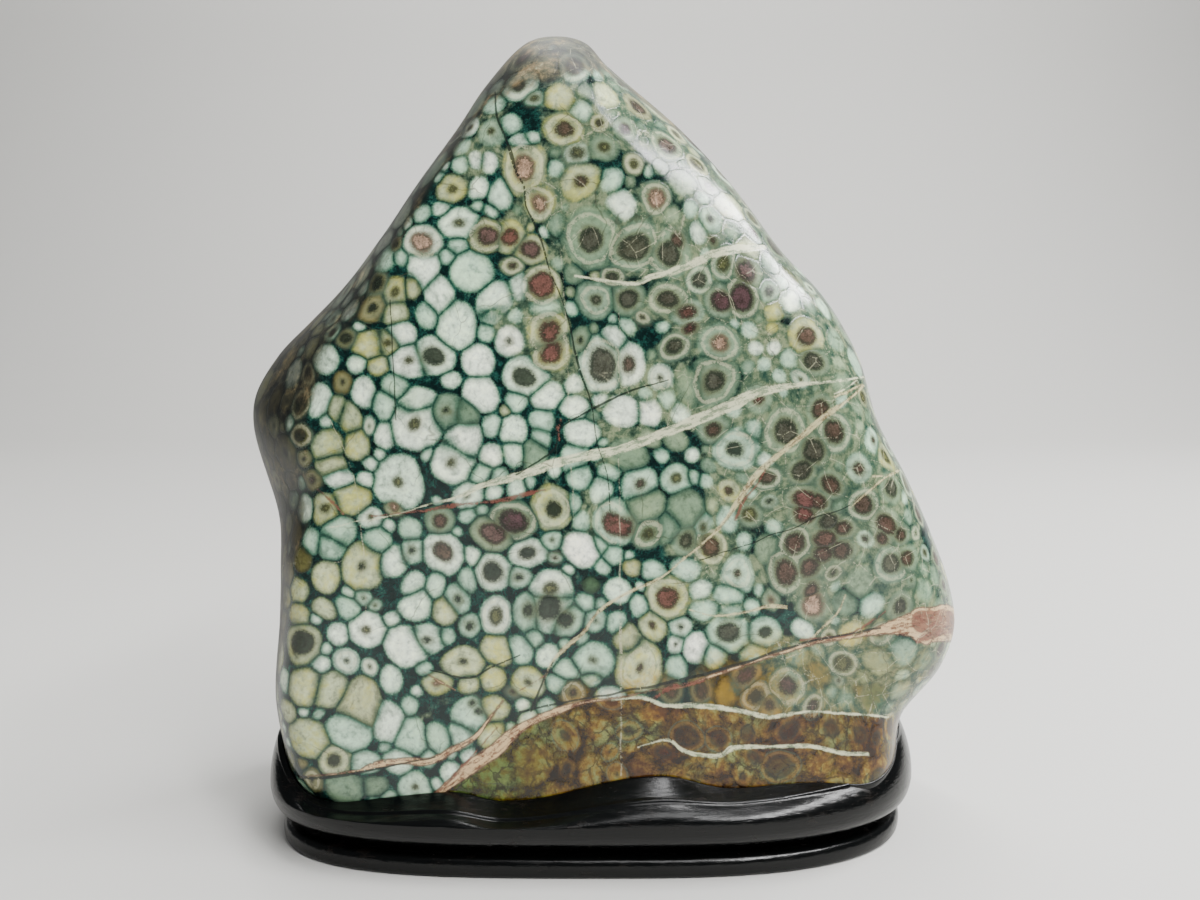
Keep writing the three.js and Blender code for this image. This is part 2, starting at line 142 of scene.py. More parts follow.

# What the polished face shows, read off the photograph, in its pixels. Each row is one
# round cell: x, y, radius and kind of body. A cell with a core also has the core's radius and
# kind, and 1 where a pale ring circles it. A radius of 0 is a core that shares another's cell.
# "gap" keeps cells out of a dark patch.
FACE_CELLS = [
    # The peak and the upper left.
    (524, 167, 25, "cream", 12, "beige", 1), (521, 144, 11, "white"),
    (491, 131, 17, "green", 4, "olive", 0), (509, 124, 12, "mint"), (532, 139, 7, "white"),
    (460, 164, 9, "mint"), (476, 160, 9, "white"), (489, 162, 10, "white"),
    (453, 189, 14, "cream", 4, "olive", 0), (479, 188, 11, "white"), (500, 195, 13, "mint"),
    (540, 204, 18, "cream", 9, "beige", 1), (459, 223, 18, "white", 5, "olive", 0),
    (421, 242, 20, "white", 12, "beige", 1), (424, 268, 19, "white"),
    (488, 236, 19, "cream", 11, "purple", 1), (510, 237, 19, "cream", 10, "red", 0),
    (531, 250, 18, "cream", 11, "purple", 0), (470, 270, 20, "mint"), (439, 295, 16, "white"),
    (495, 300, 18, "white"), (413, 286, 11, "cream"), (395, 292, 14, "cream", 5, "olive", 0),
    (394, 312, 13, "cream"), (373, 308, 16, "olive", 5, "black", 0), (522, 286, 14, "white"),
    (542, 284, 22, "cream", 14, "red", 1), (546, 308, 15, "mint"), (544, 232, 6, "white"),
    (557, 225, 12, "green"), (565, 129, 19, "cream", 9, "brown", 1),
    (604, 147, 16, "green", 6, "olive", 0), (634, 164, 12, "cream", 5, "olive", 1),
    (667, 146, 21, "green", 11, "brown", 1), (638, 108, 17, "olive", 9, "brown", 0),
    (606, 96, 16, "cream"), (560, 97, 15, "cream"), (582, 112, 12, "mint"),
    (697, 164, 15, "cream", 9, "olive", 1), (671, 215, 11, "green"),
    (657, 198, 17, "green", 10, "beige", 1), (581, 181, 18, "cream", 6, "brown", 0),
    (622, 206, 13, "white"), (612, 180, 12, "mint"), (710, 219, 14, "mint", 4, "grey", 0),
    (722, 186, 10, "green"), (591, 240, 31, "green", 12, "grey", 1),
    (634, 248, 26, "green", 14, "grey", 1), (669, 254, 24, "green", 11, "grey", 1),
    (677, 240, 0, "", 7, "brown", 0), (596, 300, 22, "green", 6, "grey", 1),
    (628, 299, 19, "green", 11, "grey", 0), (667, 299, 20, "green", 10, "grey", 1),
    (698, 232, 10, "white"), (723, 264, 17, "green", 8, "olive", 1),
    (746, 271, 17, "green", 10, "purple", 0), (742, 298, 21, "green", 14, "purple", 1),
    (721, 301, 19, "green", 12, "purple", 0), (688, 312, 17, "green", 9, "red", 0),
    (690, 328, 0, "", 7, "red", 0), (773, 312, 11, "cream"), (791, 300, 13, "white"),
    (772, 328, 7, "cream"), (749, 248, 14, "cream"), (770, 262, 13, "green"), (789, 275, 11, "olive"),
    (428, 196, 11, "gap"), (528, 119, 10, "gap"), (600, 169, 10, "gap"), (596, 208, 6, "gap"),
    (778, 316, 6, "gap"), (588, 318, 7, "gap"), (650, 337, 10, "gap"), (690, 468, 8, "gap"),
    # The white cells of the left and the middle.
    (456, 327, 23, "white"), (402, 335, 15, "white"), (388, 343, 15, "cream", 4, "olive", 0),
    (409, 360, 19, "white", 4, "olive", 0), (434, 356, 22, "white", 11, "black", 0),
    (370, 345, 17, "cream"), (378, 365, 11, "cream"), (343, 382, 12, "olive", 3, "grey", 0),
    (363, 391, 14, "white"), (337, 408, 11, "cream"), (350, 417, 13, "cream"), (329, 447, 17, "cream"),
    (331, 464, 15, "cream"), (357, 445, 15, "cream"), (339, 477, 13, "white"), (366, 480, 10, "white"),
    (384, 436, 12, "white"), (384, 406, 12, "mint"), (418, 404, 18, "white"),
    (414, 424, 25, "white", 6, "olive", 0), (446, 410, 18, "green", 3, "black", 0),
    (464, 413, 14, "green"), (478, 362, 19, "white"), (480, 393, 20, "white"), (486, 333, 9, "mint"),
    (509, 341, 14, "white", 3, "black", 0), (515, 316, 7, "mint"), (492, 312, 12, "white"),
    (523, 377, 22, "white", 11, "black", 0), (547, 396, 17, "white"), (517, 402, 12, "mint"),
    (550, 332, 20, "cream", 10, "red", 1), (551, 353, 19, "cream", 10, "red", 1),
    (574, 407, 13, "white"), (575, 384, 10, "white"), (580, 340, 12, "green", 3, "black", 0),
    (464, 441, 18, "white"), (451, 463, 20, "white", 4, "olive", 0), (492, 426, 11, "mint"),
    (513, 429, 16, "white"), (492, 455, 11, "white"), (514, 453, 12, "white"), (541, 420, 13, "mint"),
    (541, 437, 10, "mint"), (582, 434, 16, "white"), (535, 456, 15, "green"), (574, 458, 15, "mint"),
    (480, 474, 9, "mint"), (500, 476, 8, "mint"), (398, 482, 30, "white", 6, "olive", 0),
    (325, 508, 16, "cream", 5, "olive", 0), (353, 499, 19, "cream"),
    (394, 507, 9, "cream", 5, "beige", 0), (434, 482, 13, "gap"), (338, 532, 16, "mint"),
    (411, 529, 13, "mint"), (310, 541, 12, "mint"),
    # The middle.
    (603, 365, 25, "white", 15, "grey", 1), (629, 364, 20, "white", 8, "brown", 0),
    (614, 339, 13, "white"), (627, 326, 8, "mint"), (660, 378, 14, "white", 3, "grey", 1),
    (601, 400, 8, "white"), (623, 412, 19, "white"), (650, 413, 15, "white"), (667, 398, 11, "mint"),
    (680, 414, 12, "white"), (645, 394, 8, "mint"), (693, 388, 18, "green"),
    (715, 381, 24, "green", 10, "grey", 1), (720, 343, 22, "green", 9, "beige", 1),
    (756, 348, 9, "white"), (774, 348, 9, "white"), (764, 364, 9, "mint"), (779, 376, 8, "mint"),
    (807, 336, 21, "cream", 11, "brown", 0), (813, 361, 17, "green", 10, "grey", 0),
    (789, 358, 12, "mint"), (752, 430, 10, "mint"), (786, 432, 24, "green", 12, "grey", 1),
    (834, 431, 20, "green", 11, "brown", 1), (820, 409, 17, "green", 10, "brown", 0),
    (814, 451, 17, "green", 12, "grey", 0), (802, 471, 16, "green", 11, "grey", 0),
    (713, 430, 16, "green", 8, "brown", 0), (734, 449, 23, "mint", 8, "black", 1),
    (764, 460, 9, "white"), (692, 455, 9, "white"), (662, 456, 8, "mint"), (609, 471, 9, "mint"),
    (578, 476, 13, "mint"), (640, 484, 17, "mint", 5, "brown", 0),
    (676, 478, 17, "mint", 6, "olive", 0), (693, 477, 8, "mint"), (601, 491, 12, "mint"),
    (706, 481, 8, "mint"), (646, 506, 17, "green"), (687, 508, 20, "green"), (669, 527, 14, "green"),
    (648, 534, 15, "green", 6, "olive", 1), (703, 527, 13, "mint", 4, "olive", 0),
    (729, 491, 13, "cream", 5, "brown", 0), (749, 514, 14, "green", 8, "olive", 0),
    (769, 501, 8, "mint", 4, "black", 0), (774, 527, 9, "mint"), (858, 408, 10, "green"),
    (613, 524, 22, "mint", 11, "red", 1), (623, 528, 0, "", 10, "red", 0),
    (554, 509, 23, "cream", 9, "black", 1), (573, 505, 10, "mint"),
    (514, 522, 22, "green", 13, "purple", 1), (493, 534, 20, "green", 12, "purple", 0),
    (440, 521, 18, "green", 9, "brown", 0), (467, 516, 9, "mint"), (582, 550, 20, "pure"),
    (591, 585, 9, "deep"), (603, 567, 9, "mint"), (585, 602, 9, "mint"), (601, 545, 9, "mint"),
    (632, 568, 10, "cream"), (653, 571, 12, "mint"), (686, 541, 14, "green", 7, "grey", 0),
    (711, 547, 18, "cream", 10, "brown", 1), (737, 573, 19, "mint", 4, "brown", 1),
    (766, 549, 14, "green"), (744, 541, 9, "mint"),
    # The lower left.
    (331, 545, 14, "mint"), (300, 559, 14, "olive"), (326, 578, 17, "cream"),
    (362, 566, 21, "cream", 4, "black", 0), (378, 541, 13, "mint"), (392, 561, 14, "white"),
    (412, 550, 13, "mint", 4, "black", 0), (414, 583, 11, "white"), (389, 594, 11, "gap"),
    (443, 551, 23, "white", 11, "brown", 0), (415, 606, 15, "white"), (324, 608, 12, "cream"),
    (349, 609, 13, "mint"), (297, 613, 14, "cream"), (303, 642, 20, "cream", 13, "black", 0),
    (366, 630, 22, "white", 5, "olive", 0), (458, 599, 13, "mint", 4, "black", 0),
    (445, 612, 12, "cream"), (470, 626, 12, "mint", 5, "black", 0),
    (427, 640, 17, "white", 4, "black", 0), (406, 646, 23, "white"),
    (463, 661, 19, "cream", 4, "black", 0), (446, 637, 9, "mint"),
    (492, 571, 19, "white", 11, "black", 0), (527, 553, 17, "white", 8, "black", 0),
    (519, 577, 11, "mint", 4, "black", 0), (467, 580, 11, "mint"),
    (496, 616, 19, "white", 9, "olive", 1), (549, 607, 21, "white", 11, "black", 0),
    (528, 610, 17, "mint", 6, "black", 0), (566, 620, 15, "mint", 7, "black", 0),
    (551, 588, 20, "white", 7, "olive", 0), (535, 638, 8, "mint"), (410, 677, 9, "gap"),
    (437, 683, 13, "cream", 4, "beige", 0), (470, 684, 10, "cream"), (494, 678, 14, "cream"),
    (497, 650, 17, "cream"), (521, 651, 14, "mint"), (528, 682, 19, "cream", 4, "olive", 0),
    (513, 692, 0, "", 3, "brown", 0), (557, 684, 12, "mint"), (566, 670, 12, "mint"),
    (573, 693, 16, "olive", 5, "brown", 1), (593, 660, 17, "mint", 3, "olive", 0),
    (592, 678, 9, "mint"), (304, 689, 17, "cream"), (331, 690, 17, "cream"), (305, 738, 24, "cream"),
    (334, 760, 18, "cream", 8, "black", 1), (361, 703, 23, "cream"), (389, 723, 19, "white"),
    (351, 732, 21, "mint"), (411, 736, 19, "mint"), (437, 738, 14, "mint"), (430, 707, 14, "gap"),
    (447, 712, 10, "gap"), (468, 714, 16, "mint"), (472, 703, 0, "", 3, "black", 0),
    (478, 711, 0, "", 3, "black", 0), (495, 708, 13, "cream"), (462, 736, 12, "mint"),
    (415, 787, 18, "mint", 3, "olive", 0), (345, 789, 20, "green"), (375, 786, 12, "green"),
    (491, 735, 12, "cream"),
    # The right.
    (794, 543, 17, "green", 10, "brown", 1), (786, 573, 21, "green", 12, "brown", 1),
    (810, 567, 14, "green", 9, "brown", 0), (811, 590, 13, "green", 8, "brown", 0),
    (812, 605, 18, "green", 12, "beige", 0), (818, 502, 14, "green", 9, "brown", 0),
    (806, 500, 17, "green", 11, "red", 0), (805, 515, 15, "green", 10, "red", 0),
    (831, 485, 15, "green", 10, "brown", 0), (829, 521, 13, "green", 10, "grey", 0),
    (843, 528, 14, "green", 9, "brown", 0), (825, 539, 13, "green", 10, "brown", 0),
    (842, 550, 14, "green", 10, "brown", 0), (823, 554, 12, "green", 9, "brown", 0),
    (863, 505, 20, "green", 12, "brown", 1), (886, 524, 22, "green", 12, "brown", 0),
    (901, 535, 15, "green", 8, "brown", 0), (882, 538, 0, "", 7, "brown", 0),
    (891, 563, 22, "green", 11, "grey", 1), (907, 558, 18, "green", 9, "brown", 0),
    (936, 558, 15, "green", 9, "brown", 0), (892, 488, 17, "green", 9, "grey", 0),
    (885, 456, 17, "cream", 7, "olive", 0), (873, 440, 15, "mint", 4, "brown", 0),
    (926, 538, 12, "gap"), (856, 601, 9, "gap"), (873, 605, 12, "mint"), (844, 604, 11, "green"),
    (860, 580, 14, "green"), (667, 598, 25, "cream", 13, "red", 1), (687, 571, 13, "mint"),
    (699, 590, 12, "white"), (704, 610, 13, "mint"), (729, 595, 14, "mint"), (731, 612, 12, "mint"),
    (752, 607, 9, "mint"), (771, 600, 11, "green", 4, "beige", 0),
    (728, 632, 21, "mint", 11, "grey", 0), (765, 632, 18, "mint", 7, "black", 0),
    (696, 646, 15, "pure"), (754, 654, 12, "mint"), (803, 629, 13, "white"), (788, 622, 7, "gap"),
    (640, 668, 25, "cream", 4, "brown", 1), (628, 640, 14, "cream"),
    (652, 625, 15, "cream", 4, "brown", 0), (676, 667, 12, "mint"), (713, 655, 12, "mint"),
    (640, 606, 12, "mint"), (617, 622, 11, "mint"),
    # Below the long pink vein.
    (533, 762, 21, "olive"), (565, 735, 18, "olive", 6, "brown", 1), (495, 772, 18, "olive"),
    (590, 770, 16, "olive"), (600, 730, 15, "olive"), (629, 731, 13, "olive", 6, "brown", 1),
    (687, 736, 17, "olive", 13, "grey", 1), (719, 739, 15, "olive", 11, "brown", 1),
    (747, 733, 14, "olive", 10, "brown", 0), (789, 731, 15, "olive", 10, "brown", 0),
    (831, 728, 14, "olive", 9, "brown", 0), (860, 735, 14, "olive", 9, "brown", 0),
    (779, 767, 20, "olive", 15, "grey", 1), (753, 757, 13, "olive", 8, "brown", 0),
    (663, 752, 13, "olive", 8, "red", 0), (820, 765, 14, "olive"),
    (746, 675, 14, "olive", 9, "purple", 0), (755, 696, 14, "olive", 7, "black", 1),
    (788, 685, 20, "green", 9, "purple", 1), (701, 690, 12, "olive", 9, "brown", 0),
    (671, 690, 13, "olive", 9, "brown", 0), (842, 663, 17, "green", 11, "olive", 1),
    (819, 675, 16, "olive"), (846, 697, 12, "green"), (875, 697, 17, "olive"), (880, 662, 17, "green"),
    (903, 655, 16, "green"), (858, 690, 8, "deep"), (727, 693, 14, "olive"),
    (770, 705, 13, "olive", 5, "brown", 0), (900, 690, 14, "green"), (925, 660, 14, "green"),
    (715, 765, 14, "olive"),
    # The left flank, turned away from the camera.
    (396, 244, 9, "olive", 6, "black", 0), (377, 283, 11, "olive", 8, "black", 0),
    (345, 338, 12, "olive", 7, "black", 0), (308, 373, 12, "olive", 7, "black", 1),
    (301, 404, 13, "olive", 9, "black", 1), (300, 436, 12, "olive", 7, "black", 1),
    (312, 480, 11, "olive", 5, "brown", 0),
]
NO_CORE = (0, "", 0)
# Where each kind of body and of core lies on its colour ramp.
BODY_TONES = {
    "pure": 0.0, "white": 0.1, "mint": 0.3, "green": 0.5, "cream": 0.7, "olive": 0.9, "deep": 1.0,
}
CORE_TONES = {
    "black": 0.0, "olive": 0.17, "grey": 0.34, "brown": 0.5, "red": 0.67, "purple": 0.84, "beige": 1.0,
}
# Millimetres to a pixel of the photograph, on the stone's front.
FACE_PIXEL = 0.254

# Veins that cross the face, as x, y and width in pixels of the photograph, by their colour.
VEINS = {
    "cream": [
        [(330, 527, 1), (398, 514, 2), (430, 504, 2), (455, 498, 4), (484, 485, 7), (525, 474, 9),
         (556, 463, 10), (586, 456, 11), (618, 450, 10), (654, 437, 10), (697, 420, 11), (718, 411, 12),
         (736, 403, 13), (757, 393, 11), (786, 387, 7), (815, 383, 4), (846, 380, 3), (870, 376, 2)],
        [(575, 276, 2), (606, 281, 4), (634, 284, 5), (651, 277, 7), (667, 273, 7), (694, 263, 8),
         (714, 254, 9), (745, 248, 9), (764, 247, 6)],
        [(612, 700, 2), (643, 698, 4), (664, 705, 5), (705, 706, 6), (746, 712, 5), (769, 717, 5),
         (804, 712, 3), (854, 714, 3), (889, 717, 2)],
        [(638, 747, 2), (668, 740, 3), (682, 750, 5), (700, 755, 5), (721, 755, 5), (732, 748, 6),
         (769, 747, 4), (808, 746, 5), (843, 753, 5), (868, 754, 4)],
    ],
    "thread": [
        [(619, 290, 1), (619, 398, 1), (619, 470, 1), (620, 530, 1), (620, 600, 2), (621, 660, 3),
         (621, 700, 2), (621, 775, 2)],
        [(560, 250, 1), (566, 320, 1), (569, 420, 1), (574, 520, 1)],
        [(250, 566, 1), (285, 563, 1), (340, 562, 1)],
        [(330, 420, 1), (352, 470, 1), (362, 540, 1), (366, 640, 1)],
    ],
    "tan": [
        [(543, 683, 2), (551, 664, 3), (566, 647, 5), (582, 634, 5), (598, 612, 4), (629, 592, 4),
         (660, 578, 3), (687, 556, 3), (707, 540, 3), (724, 522, 5), (737, 503, 6), (760, 471, 7),
         (783, 451, 6), (803, 435, 7), (825, 416, 6), (850, 398, 4), (878, 372, 3)],
        [(850, 508, 2), (868, 492, 3), (885, 478, 3), (905, 468, 2)],
        [(690, 610, 2), (715, 616, 2), (745, 612, 3), (770, 606, 5), (786, 607, 4)],
        [(800, 650, 2), (822, 628, 3), (838, 612, 3), (845, 595, 2)],
    ],
    "pink": [
        [(300, 777, 2), (321, 775, 3), (358, 771, 5), (376, 765, 9), (402, 761, 9), (431, 761, 9),
         (454, 749, 8), (476, 736, 7), (490, 718, 5), (503, 701, 3)],
        [(435, 796, 9), (456, 779, 13), (474, 765, 16), (494, 751, 16), (515, 732, 13), (535, 720, 10),
         (566, 708, 8), (586, 702, 5), (628, 696, 3), (653, 690, 3), (682, 687, 3), (706, 678, 5),
         (735, 668, 5), (774, 655, 5), (822, 641, 6), (866, 634, 7), (885, 629, 14), (905, 625, 24),
         (925, 624, 34), (943, 624, 40), (965, 624, 40)],
        [(424, 672, 1), (440, 682, 4), (455, 690, 2)],
    ],
    "rust": [
        [(372, 516, 1), (430, 510, 4), (455, 505, 5), (480, 503, 4), (503, 500, 5), (530, 493, 5),
         (545, 490, 2)],
        [(735, 520, 3), (744, 500, 4), (757, 484, 3), (765, 470, 2)],
        [(559, 440, 2), (558, 428, 4), (561, 420, 2)],
        [(497, 728, 2), (470, 758, 3), (446, 784, 4), (430, 798, 3)],
        [(520, 690, 2), (545, 676, 2)],
        [(655, 698, 3), (670, 688, 5), (690, 684, 4), (705, 680, 3)],
        [(915, 642, 3), (932, 634, 12), (948, 624, 22), (968, 618, 26)],
        [(800, 640, 3), (850, 634, 4), (885, 612, 3)],
        [(355, 520, 1), (345, 515, 2), (330, 500, 3), (318, 490, 3)],
    ],
    "crack": [
        [(495, 92, 1), (497, 117, 2), (505, 137, 2), (511, 154, 4), (516, 172, 2), (524, 187, 2),
         (526, 206, 1), (534, 223, 2), (542, 243, 2), (550, 272, 1), (558, 290, 1), (566, 312, 1),
         (580, 371, 2), (591, 402, 1), (597, 443, 1), (607, 474, 1), (610, 512, 1)],
        [(516, 475, 1), (555, 448, 2), (559, 430, 1), (587, 412, 2), (628, 392, 2), (668, 380, 1)],
        [(531, 711, 2), (545, 677, 2), (553, 662, 1)],
        [(430, 670, 1), (470, 678, 2), (490, 668, 2), (520, 655, 1)],
        [(435, 757, 1), (376, 769, 2), (340, 776, 3), (310, 778, 3), (296, 775, 3)],
        [(520, 712, 2), (560, 703, 2), (600, 696, 2), (680, 680, 3), (740, 664, 3), (800, 644, 2),
         (880, 628, 2)],
        [(700, 560, 1), (760, 540, 1), (850, 505, 1)],
        [(390, 300, 1), (393, 360, 1), (396, 420, 1)],
    ],
}
# The two veins that bound the rust from above, by kind and number: the long pink one, and the
# pale one toward the right.
PINK_ABOVE_RUST = ("pink", 1)
PALE_IN_RUST = ("cream", 2)
# A vein runs from front to back through the stone. It shifts to the left and down by these
# shares of the depth, and waves: the height of the waves, and the heights and widths over which
# they turn by one radian.
VEIN_SHIFT = (0.22, 0.3)
VEIN_WAVE = 0.35
VEIN_WAVE_LENGTHS = (2.3, 1.9)
# How fine the streaks in a vein are, for each millimetre across and along it.
VEIN_STREAKS = (1.5, 0.3)

# The pattern is pushed aside along each axis by waves: the height and length of each, and the
# way it runs, whose numbers move on by one place for each axis, as its phase does by WARP_PHASE.
WARP_WAVES = [(0.9, 31.0), (0.36, 13.0), (0.13, 5.5)]
WARP_WAYS = np.array([[0.8, 0.3, 0.5], [-0.4, 0.5, 0.77], [0.25, 0.8, -0.55]])
WARP_PHASE = 1.7

# Random cells that fill the room left: radius, how much of it must be free, and the most made.
FILLING_SIZES = [
    (6.4, 1.0, 40), (5.2, 0.95, 110), (4.3, 0.9, 200), (3.5, 0.88, 420), (2.7, 0.85, 900),
    (2.0, 0.9, 900), (1.4, 1.0, 500),
]
SIZE_SPREAD = (0.85, 1.12)
CANDIDATE_PLACES = 26000
SEED = 11
# Random cells turn green to the right and upward, in millimetres of [none, full], and are of the
# flank's kinds toward the left, in x of [none, full].
GREEN_STRETCH = (-18, 30)
FLANK_STRETCH = (-70, -88)
# Tones of the bodies and cores of random cells and, where it isn't even, the share of each.
WHITE_BODIES = ([0.1, 0.15, 0.3], [0.4, 0.2, 0.4])
GREEN_BODIES = ([0.3, 0.5, 0.7], [0.28, 0.6, 0.12])
FLANK_BODIES = [0.7, 0.9]
WIDE_CORES = ([0.34, 0.5, 0.67, 0.17, 0.84], [0.3, 0.4, 0.1, 0.14, 0.06])
SMALL_CORES = [0.0, 0.17]
TONE_DRIFT = 0.03
# Cores as shares of their cell's radius, the radius of a large cell, the shares of large and of
# small cells that have a core, and the share of cores that have a ring.
WIDE_CORE = (0.4, 0.62)
SMALL_CORE = (0.14, 0.26)
LARGE_CELL = 2.4
LARGE_EYED, SMALL_EYED = 0.62, 0.12
RINGED_SHARE = 0.45
# The pale haze grows to the right and upward, in millimetres of [none, full], moved either way
# by patches of this strength.
HAZE_STRETCH = (-22, 44)
HAZE_PATCHES = 16
# Every cell grows by this much, so that neighbours touch.
CELL_GROWTH = 0.4
# How far out a pale ring runs between a core and its cell's edge.
RING_SHARE = 0.55
# How far from the middle of a dark gap the pale haze comes back.
GAP_REACH = 4.5
# Sizes of the three noises that roughen the stone's colours.
GRAIN_SIZE = 0.45
MOTTLE_SIZE = 2.2
CLOUD_SIZE = 11.0

# Fineness of the meshes, and how many of the nearest cells and cores each face of the stone has.
STONE_RINGS = 108
SHOULDER_RINGS = 34
STAND_SIDES = 640
OUTLINE_STEPS = 24
CURVE_STEPS = 4
WALL_RINGS = 14
RIM_RINGS = 5
# Shares of the way along the rim's bevel to the stone, and down the seat's walls.
BEVEL_SHARES = (0.15, 0.3, 0.45, 0.6, 0.75, 0.88, 0.96)
SEAT_SHARES = (0.2, 0.45, 0.7, 0.9)
CELLS_PER_FACE = 4
CORES_PER_FACE = 2
# Rows of large tables that are worked out at a time.
BLOCK = 2000

# The floor runs this far to each side and to the front, turns up behind and ends at a height.
FLOOR_HALF = 1500.0
FLOOR_TURN_Y = 900.0
FLOOR_TURN_RADIUS = 600.0
FLOOR_TOP = 2500.0

# Lights, in metres: name, place, the point aimed at, length and width, and then watts.
LIGHTS = [
    ("upper_right_strip", (0.66, -0.2, 0.85), (0, 0, 0.1), (1.7, 0.13), 36),
    ("ceiling_lamp", (0.05, 0.03, 1.2), (0, 0, 0.1), (0.9, 0.07), 8),
    ("soft_front", (0.3, -0.85, 1.15), (0, 0, 0.1), (0.8, 0.5), 9),
    ("sweep_light", (0.0, 0.9, 1.6), (0, 1.5, 0.3), (1.6, 0.5), 26),
]
ROOM_COLOUR = (0.8, 0.85, 0.9, 1)
ROOM_STRENGTH = 0.14


# Shapes.

def around(table, angle):
    """Values of a table of [direction, ...] at an angle: each row eases into the next along
    t * t * (3 - 2 * t), and the last into the first."""
    rows = np.array(table, float)
    turn = np.mod(np.degrees(angle) - rows[0, 0], 360.0)
    starts = np.mod(rows[:, 0] - rows[0, 0], 360.0)
    row = np.searchsorted(starts, turn, side="right") - 1
    after = (row + 1) % len(rows)
    end = np.where(after == 0, 360.0, starts[after])
    t = (turn - starts[row]) / (end - starts[row])
    eased = (t * t * (3 - 2 * t))[..., None]
    return np.moveaxis(rows[row, 1:] * (1 - eased) + rows[after, 1:] * eased, -1, 0)


def smooth_curve(points, steps, closed=False):
    """A centripetal Catmull-Rom curve through the points, with steps samples to a stretch: each
    stretch is a cubic whose end slopes come from its neighbours, spaced by the root of distance."""
    p = np.array(points, float)
    if closed:
        p = np.vstack([p[-1], p, p[:2]])
    else:
        p = np.vstack([2 * p[0] - p[1], p, 2 * p[-1] - p[-2]])
    gap = np.sqrt(np.linalg.norm(np.diff(p, axis=0), axis=1))[:, None]
    a, b, c, d = p[:-3], p[1:-2], p[2:-1], p[3:]
    g0, g1, g2 = gap[:-2], gap[1:-1], gap[2:]
    slope_b = ((b - a) / g0 - (c - a) / (g0 + g1) + (c - b) / g1) * g1
    slope_c = ((c - b) / g1 - (d - b) / (g1 + g2) + (d - c) / g2) * g1
    t = (np.arange(steps) / steps)[None, :, None]
    b, c, slope_b, slope_c = b[:, None], c[:, None], slope_b[:, None], slope_c[:, None]
    curve = (
        b + slope_b * t
        + (3 * (c - b) - 2 * slope_b - slope_c) * t ** 2
        + (2 * (b - c) + slope_b + slope_c) * t ** 3
    ).reshape(-1, p.shape[1])
    return curve if closed else np.vstack([curve, p[-2]])


def turned_outline():
    """The outline's points about the stone's middle in the order of their direction, and those
    directions, from 0 to a full turn."""
    points = smooth_curve(STONE_OUTLINE, OUTLINE_STEPS, closed=True) - STONE_MIDDLE
    angles = np.mod(np.arctan2(points[:, 1], points[:, 0]), 2 * np.pi)
    order = np.argsort(angles)
    return points[order], angles[order]


OUTLINE_POINTS, OUTLINE_ANGLES = turned_outline()
OUTLINE_RADII = np.hypot(*OUTLINE_POINTS.T)


def outline_radius(angle):
    """Distance from the stone's middle to its outline in a direction."""
    return np.interp(angle, OUTLINE_ANGLES, OUTLINE_RADII, period=2 * np.pi) - OUTLINE_INSET


def face_depth(x, z, side):
    """Depth y of a face over (x, z): a plane that leans in with height, less a crown that falls
    with the square of x, plus slow swells that are products of two sines."""
    face = FACES[side]
    fall = face["lean"] * (z - FACE_FOOT_Z) + face["crown"] * (x / FACE_SIDE) ** 2
    swell = sum(h * np.sin(x / a + p) * np.sin(z / b + side + p) for h, a, b, p in SWELLS)
    return side * (face["depth"] - fall + swell)


def stone_surface(angle, inward, side, grow=0.0):
    """Depth y of the stone a distance in from its outline: a superellipse carries it from the
    outline's depth to the face's depth over the width of the shoulder."""
    front_width, front_crisp, back_width, back_crisp, outline_depth = around(STONE_SHOULDERS, angle)
    width, crisp = (front_width, front_crisp) if side == FRONT else (back_width, back_crisp)
    radius = outline_radius(angle)
    x = STONE_MIDDLE[0] + (radius - inward) * np.cos(angle)
    z = STONE_MIDDLE[1] + (radius - inward) * np.sin(angle)
    share = np.clip(inward / width, 0.0, 1.0)
    rise = (1 - (1 - share) ** crisp) ** (1 / crisp)
    face = face_depth(x, z, side) + side * grow
    return outline_depth + (face - outline_depth) * rise


def stone_depth(x, z, side, grow=0.0):
    """Depth y of the stone's surface over (x, z), and the distance in from the outline there."""
    dx, dz = x - STONE_MIDDLE[0], z - STONE_MIDDLE[1]
    angle = np.arctan2(dz, dx)
    radius = outline_radius(angle)
    inward = radius - np.hypot(dx, dz) * radius / (radius + grow)
    return stone_surface(angle, np.maximum(inward, 0), side, grow), inward


def in_stone(x, y, z, grow):
    """Whether points lie inside the stone grown by a clearance."""
    front, inward = stone_depth(x, z, FRONT, grow)
    back, _ = stone_depth(x, z, BACK, grow)
    return (inward > 0) & (y > front) & (y < back)


def carry_onto_stone(pixels):
    """The points of the stone's front that the camera sees at these pixels of the photograph:
    each ray is walked through RAY_DEPTHS, and its first point inside the stone is kept. A ray
    that misses the stone gives its point nearest to the outline."""
    pixels = np.array(pixels, float)
    forward = np.array([0, math.cos(CAMERA_DOWN), -math.sin(CAMERA_DOWN)])
    up = np.array([0, math.sin(CAMERA_DOWN), math.cos(CAMERA_DOWN)])
    across = (pixels[:, 0] - FRAME_MIDDLE[0]) / FOCAL_PIXELS
    rise = (FRAME_MIDDLE[1] - pixels[:, 1]) / FOCAL_PIXELS
    rays = forward + across[:, None] * np.array([1.0, 0, 0]) + rise[:, None] * up
    steps = (RAY_DEPTHS - CAMERA_AT[1])[None, :] / rays[:, 1:2]
    walked = CAMERA_AT + steps[..., None] * rays[:, None]
    front, inward = stone_depth(walked[..., 0], walked[..., 2], FRONT)
    passed = (walked[..., 1] >= front) & (inward > 0)
    hit = np.where(passed.any(1), passed.argmax(1), inward.argmax(1))
    return walked[np.arange(len(pixels)), hit]


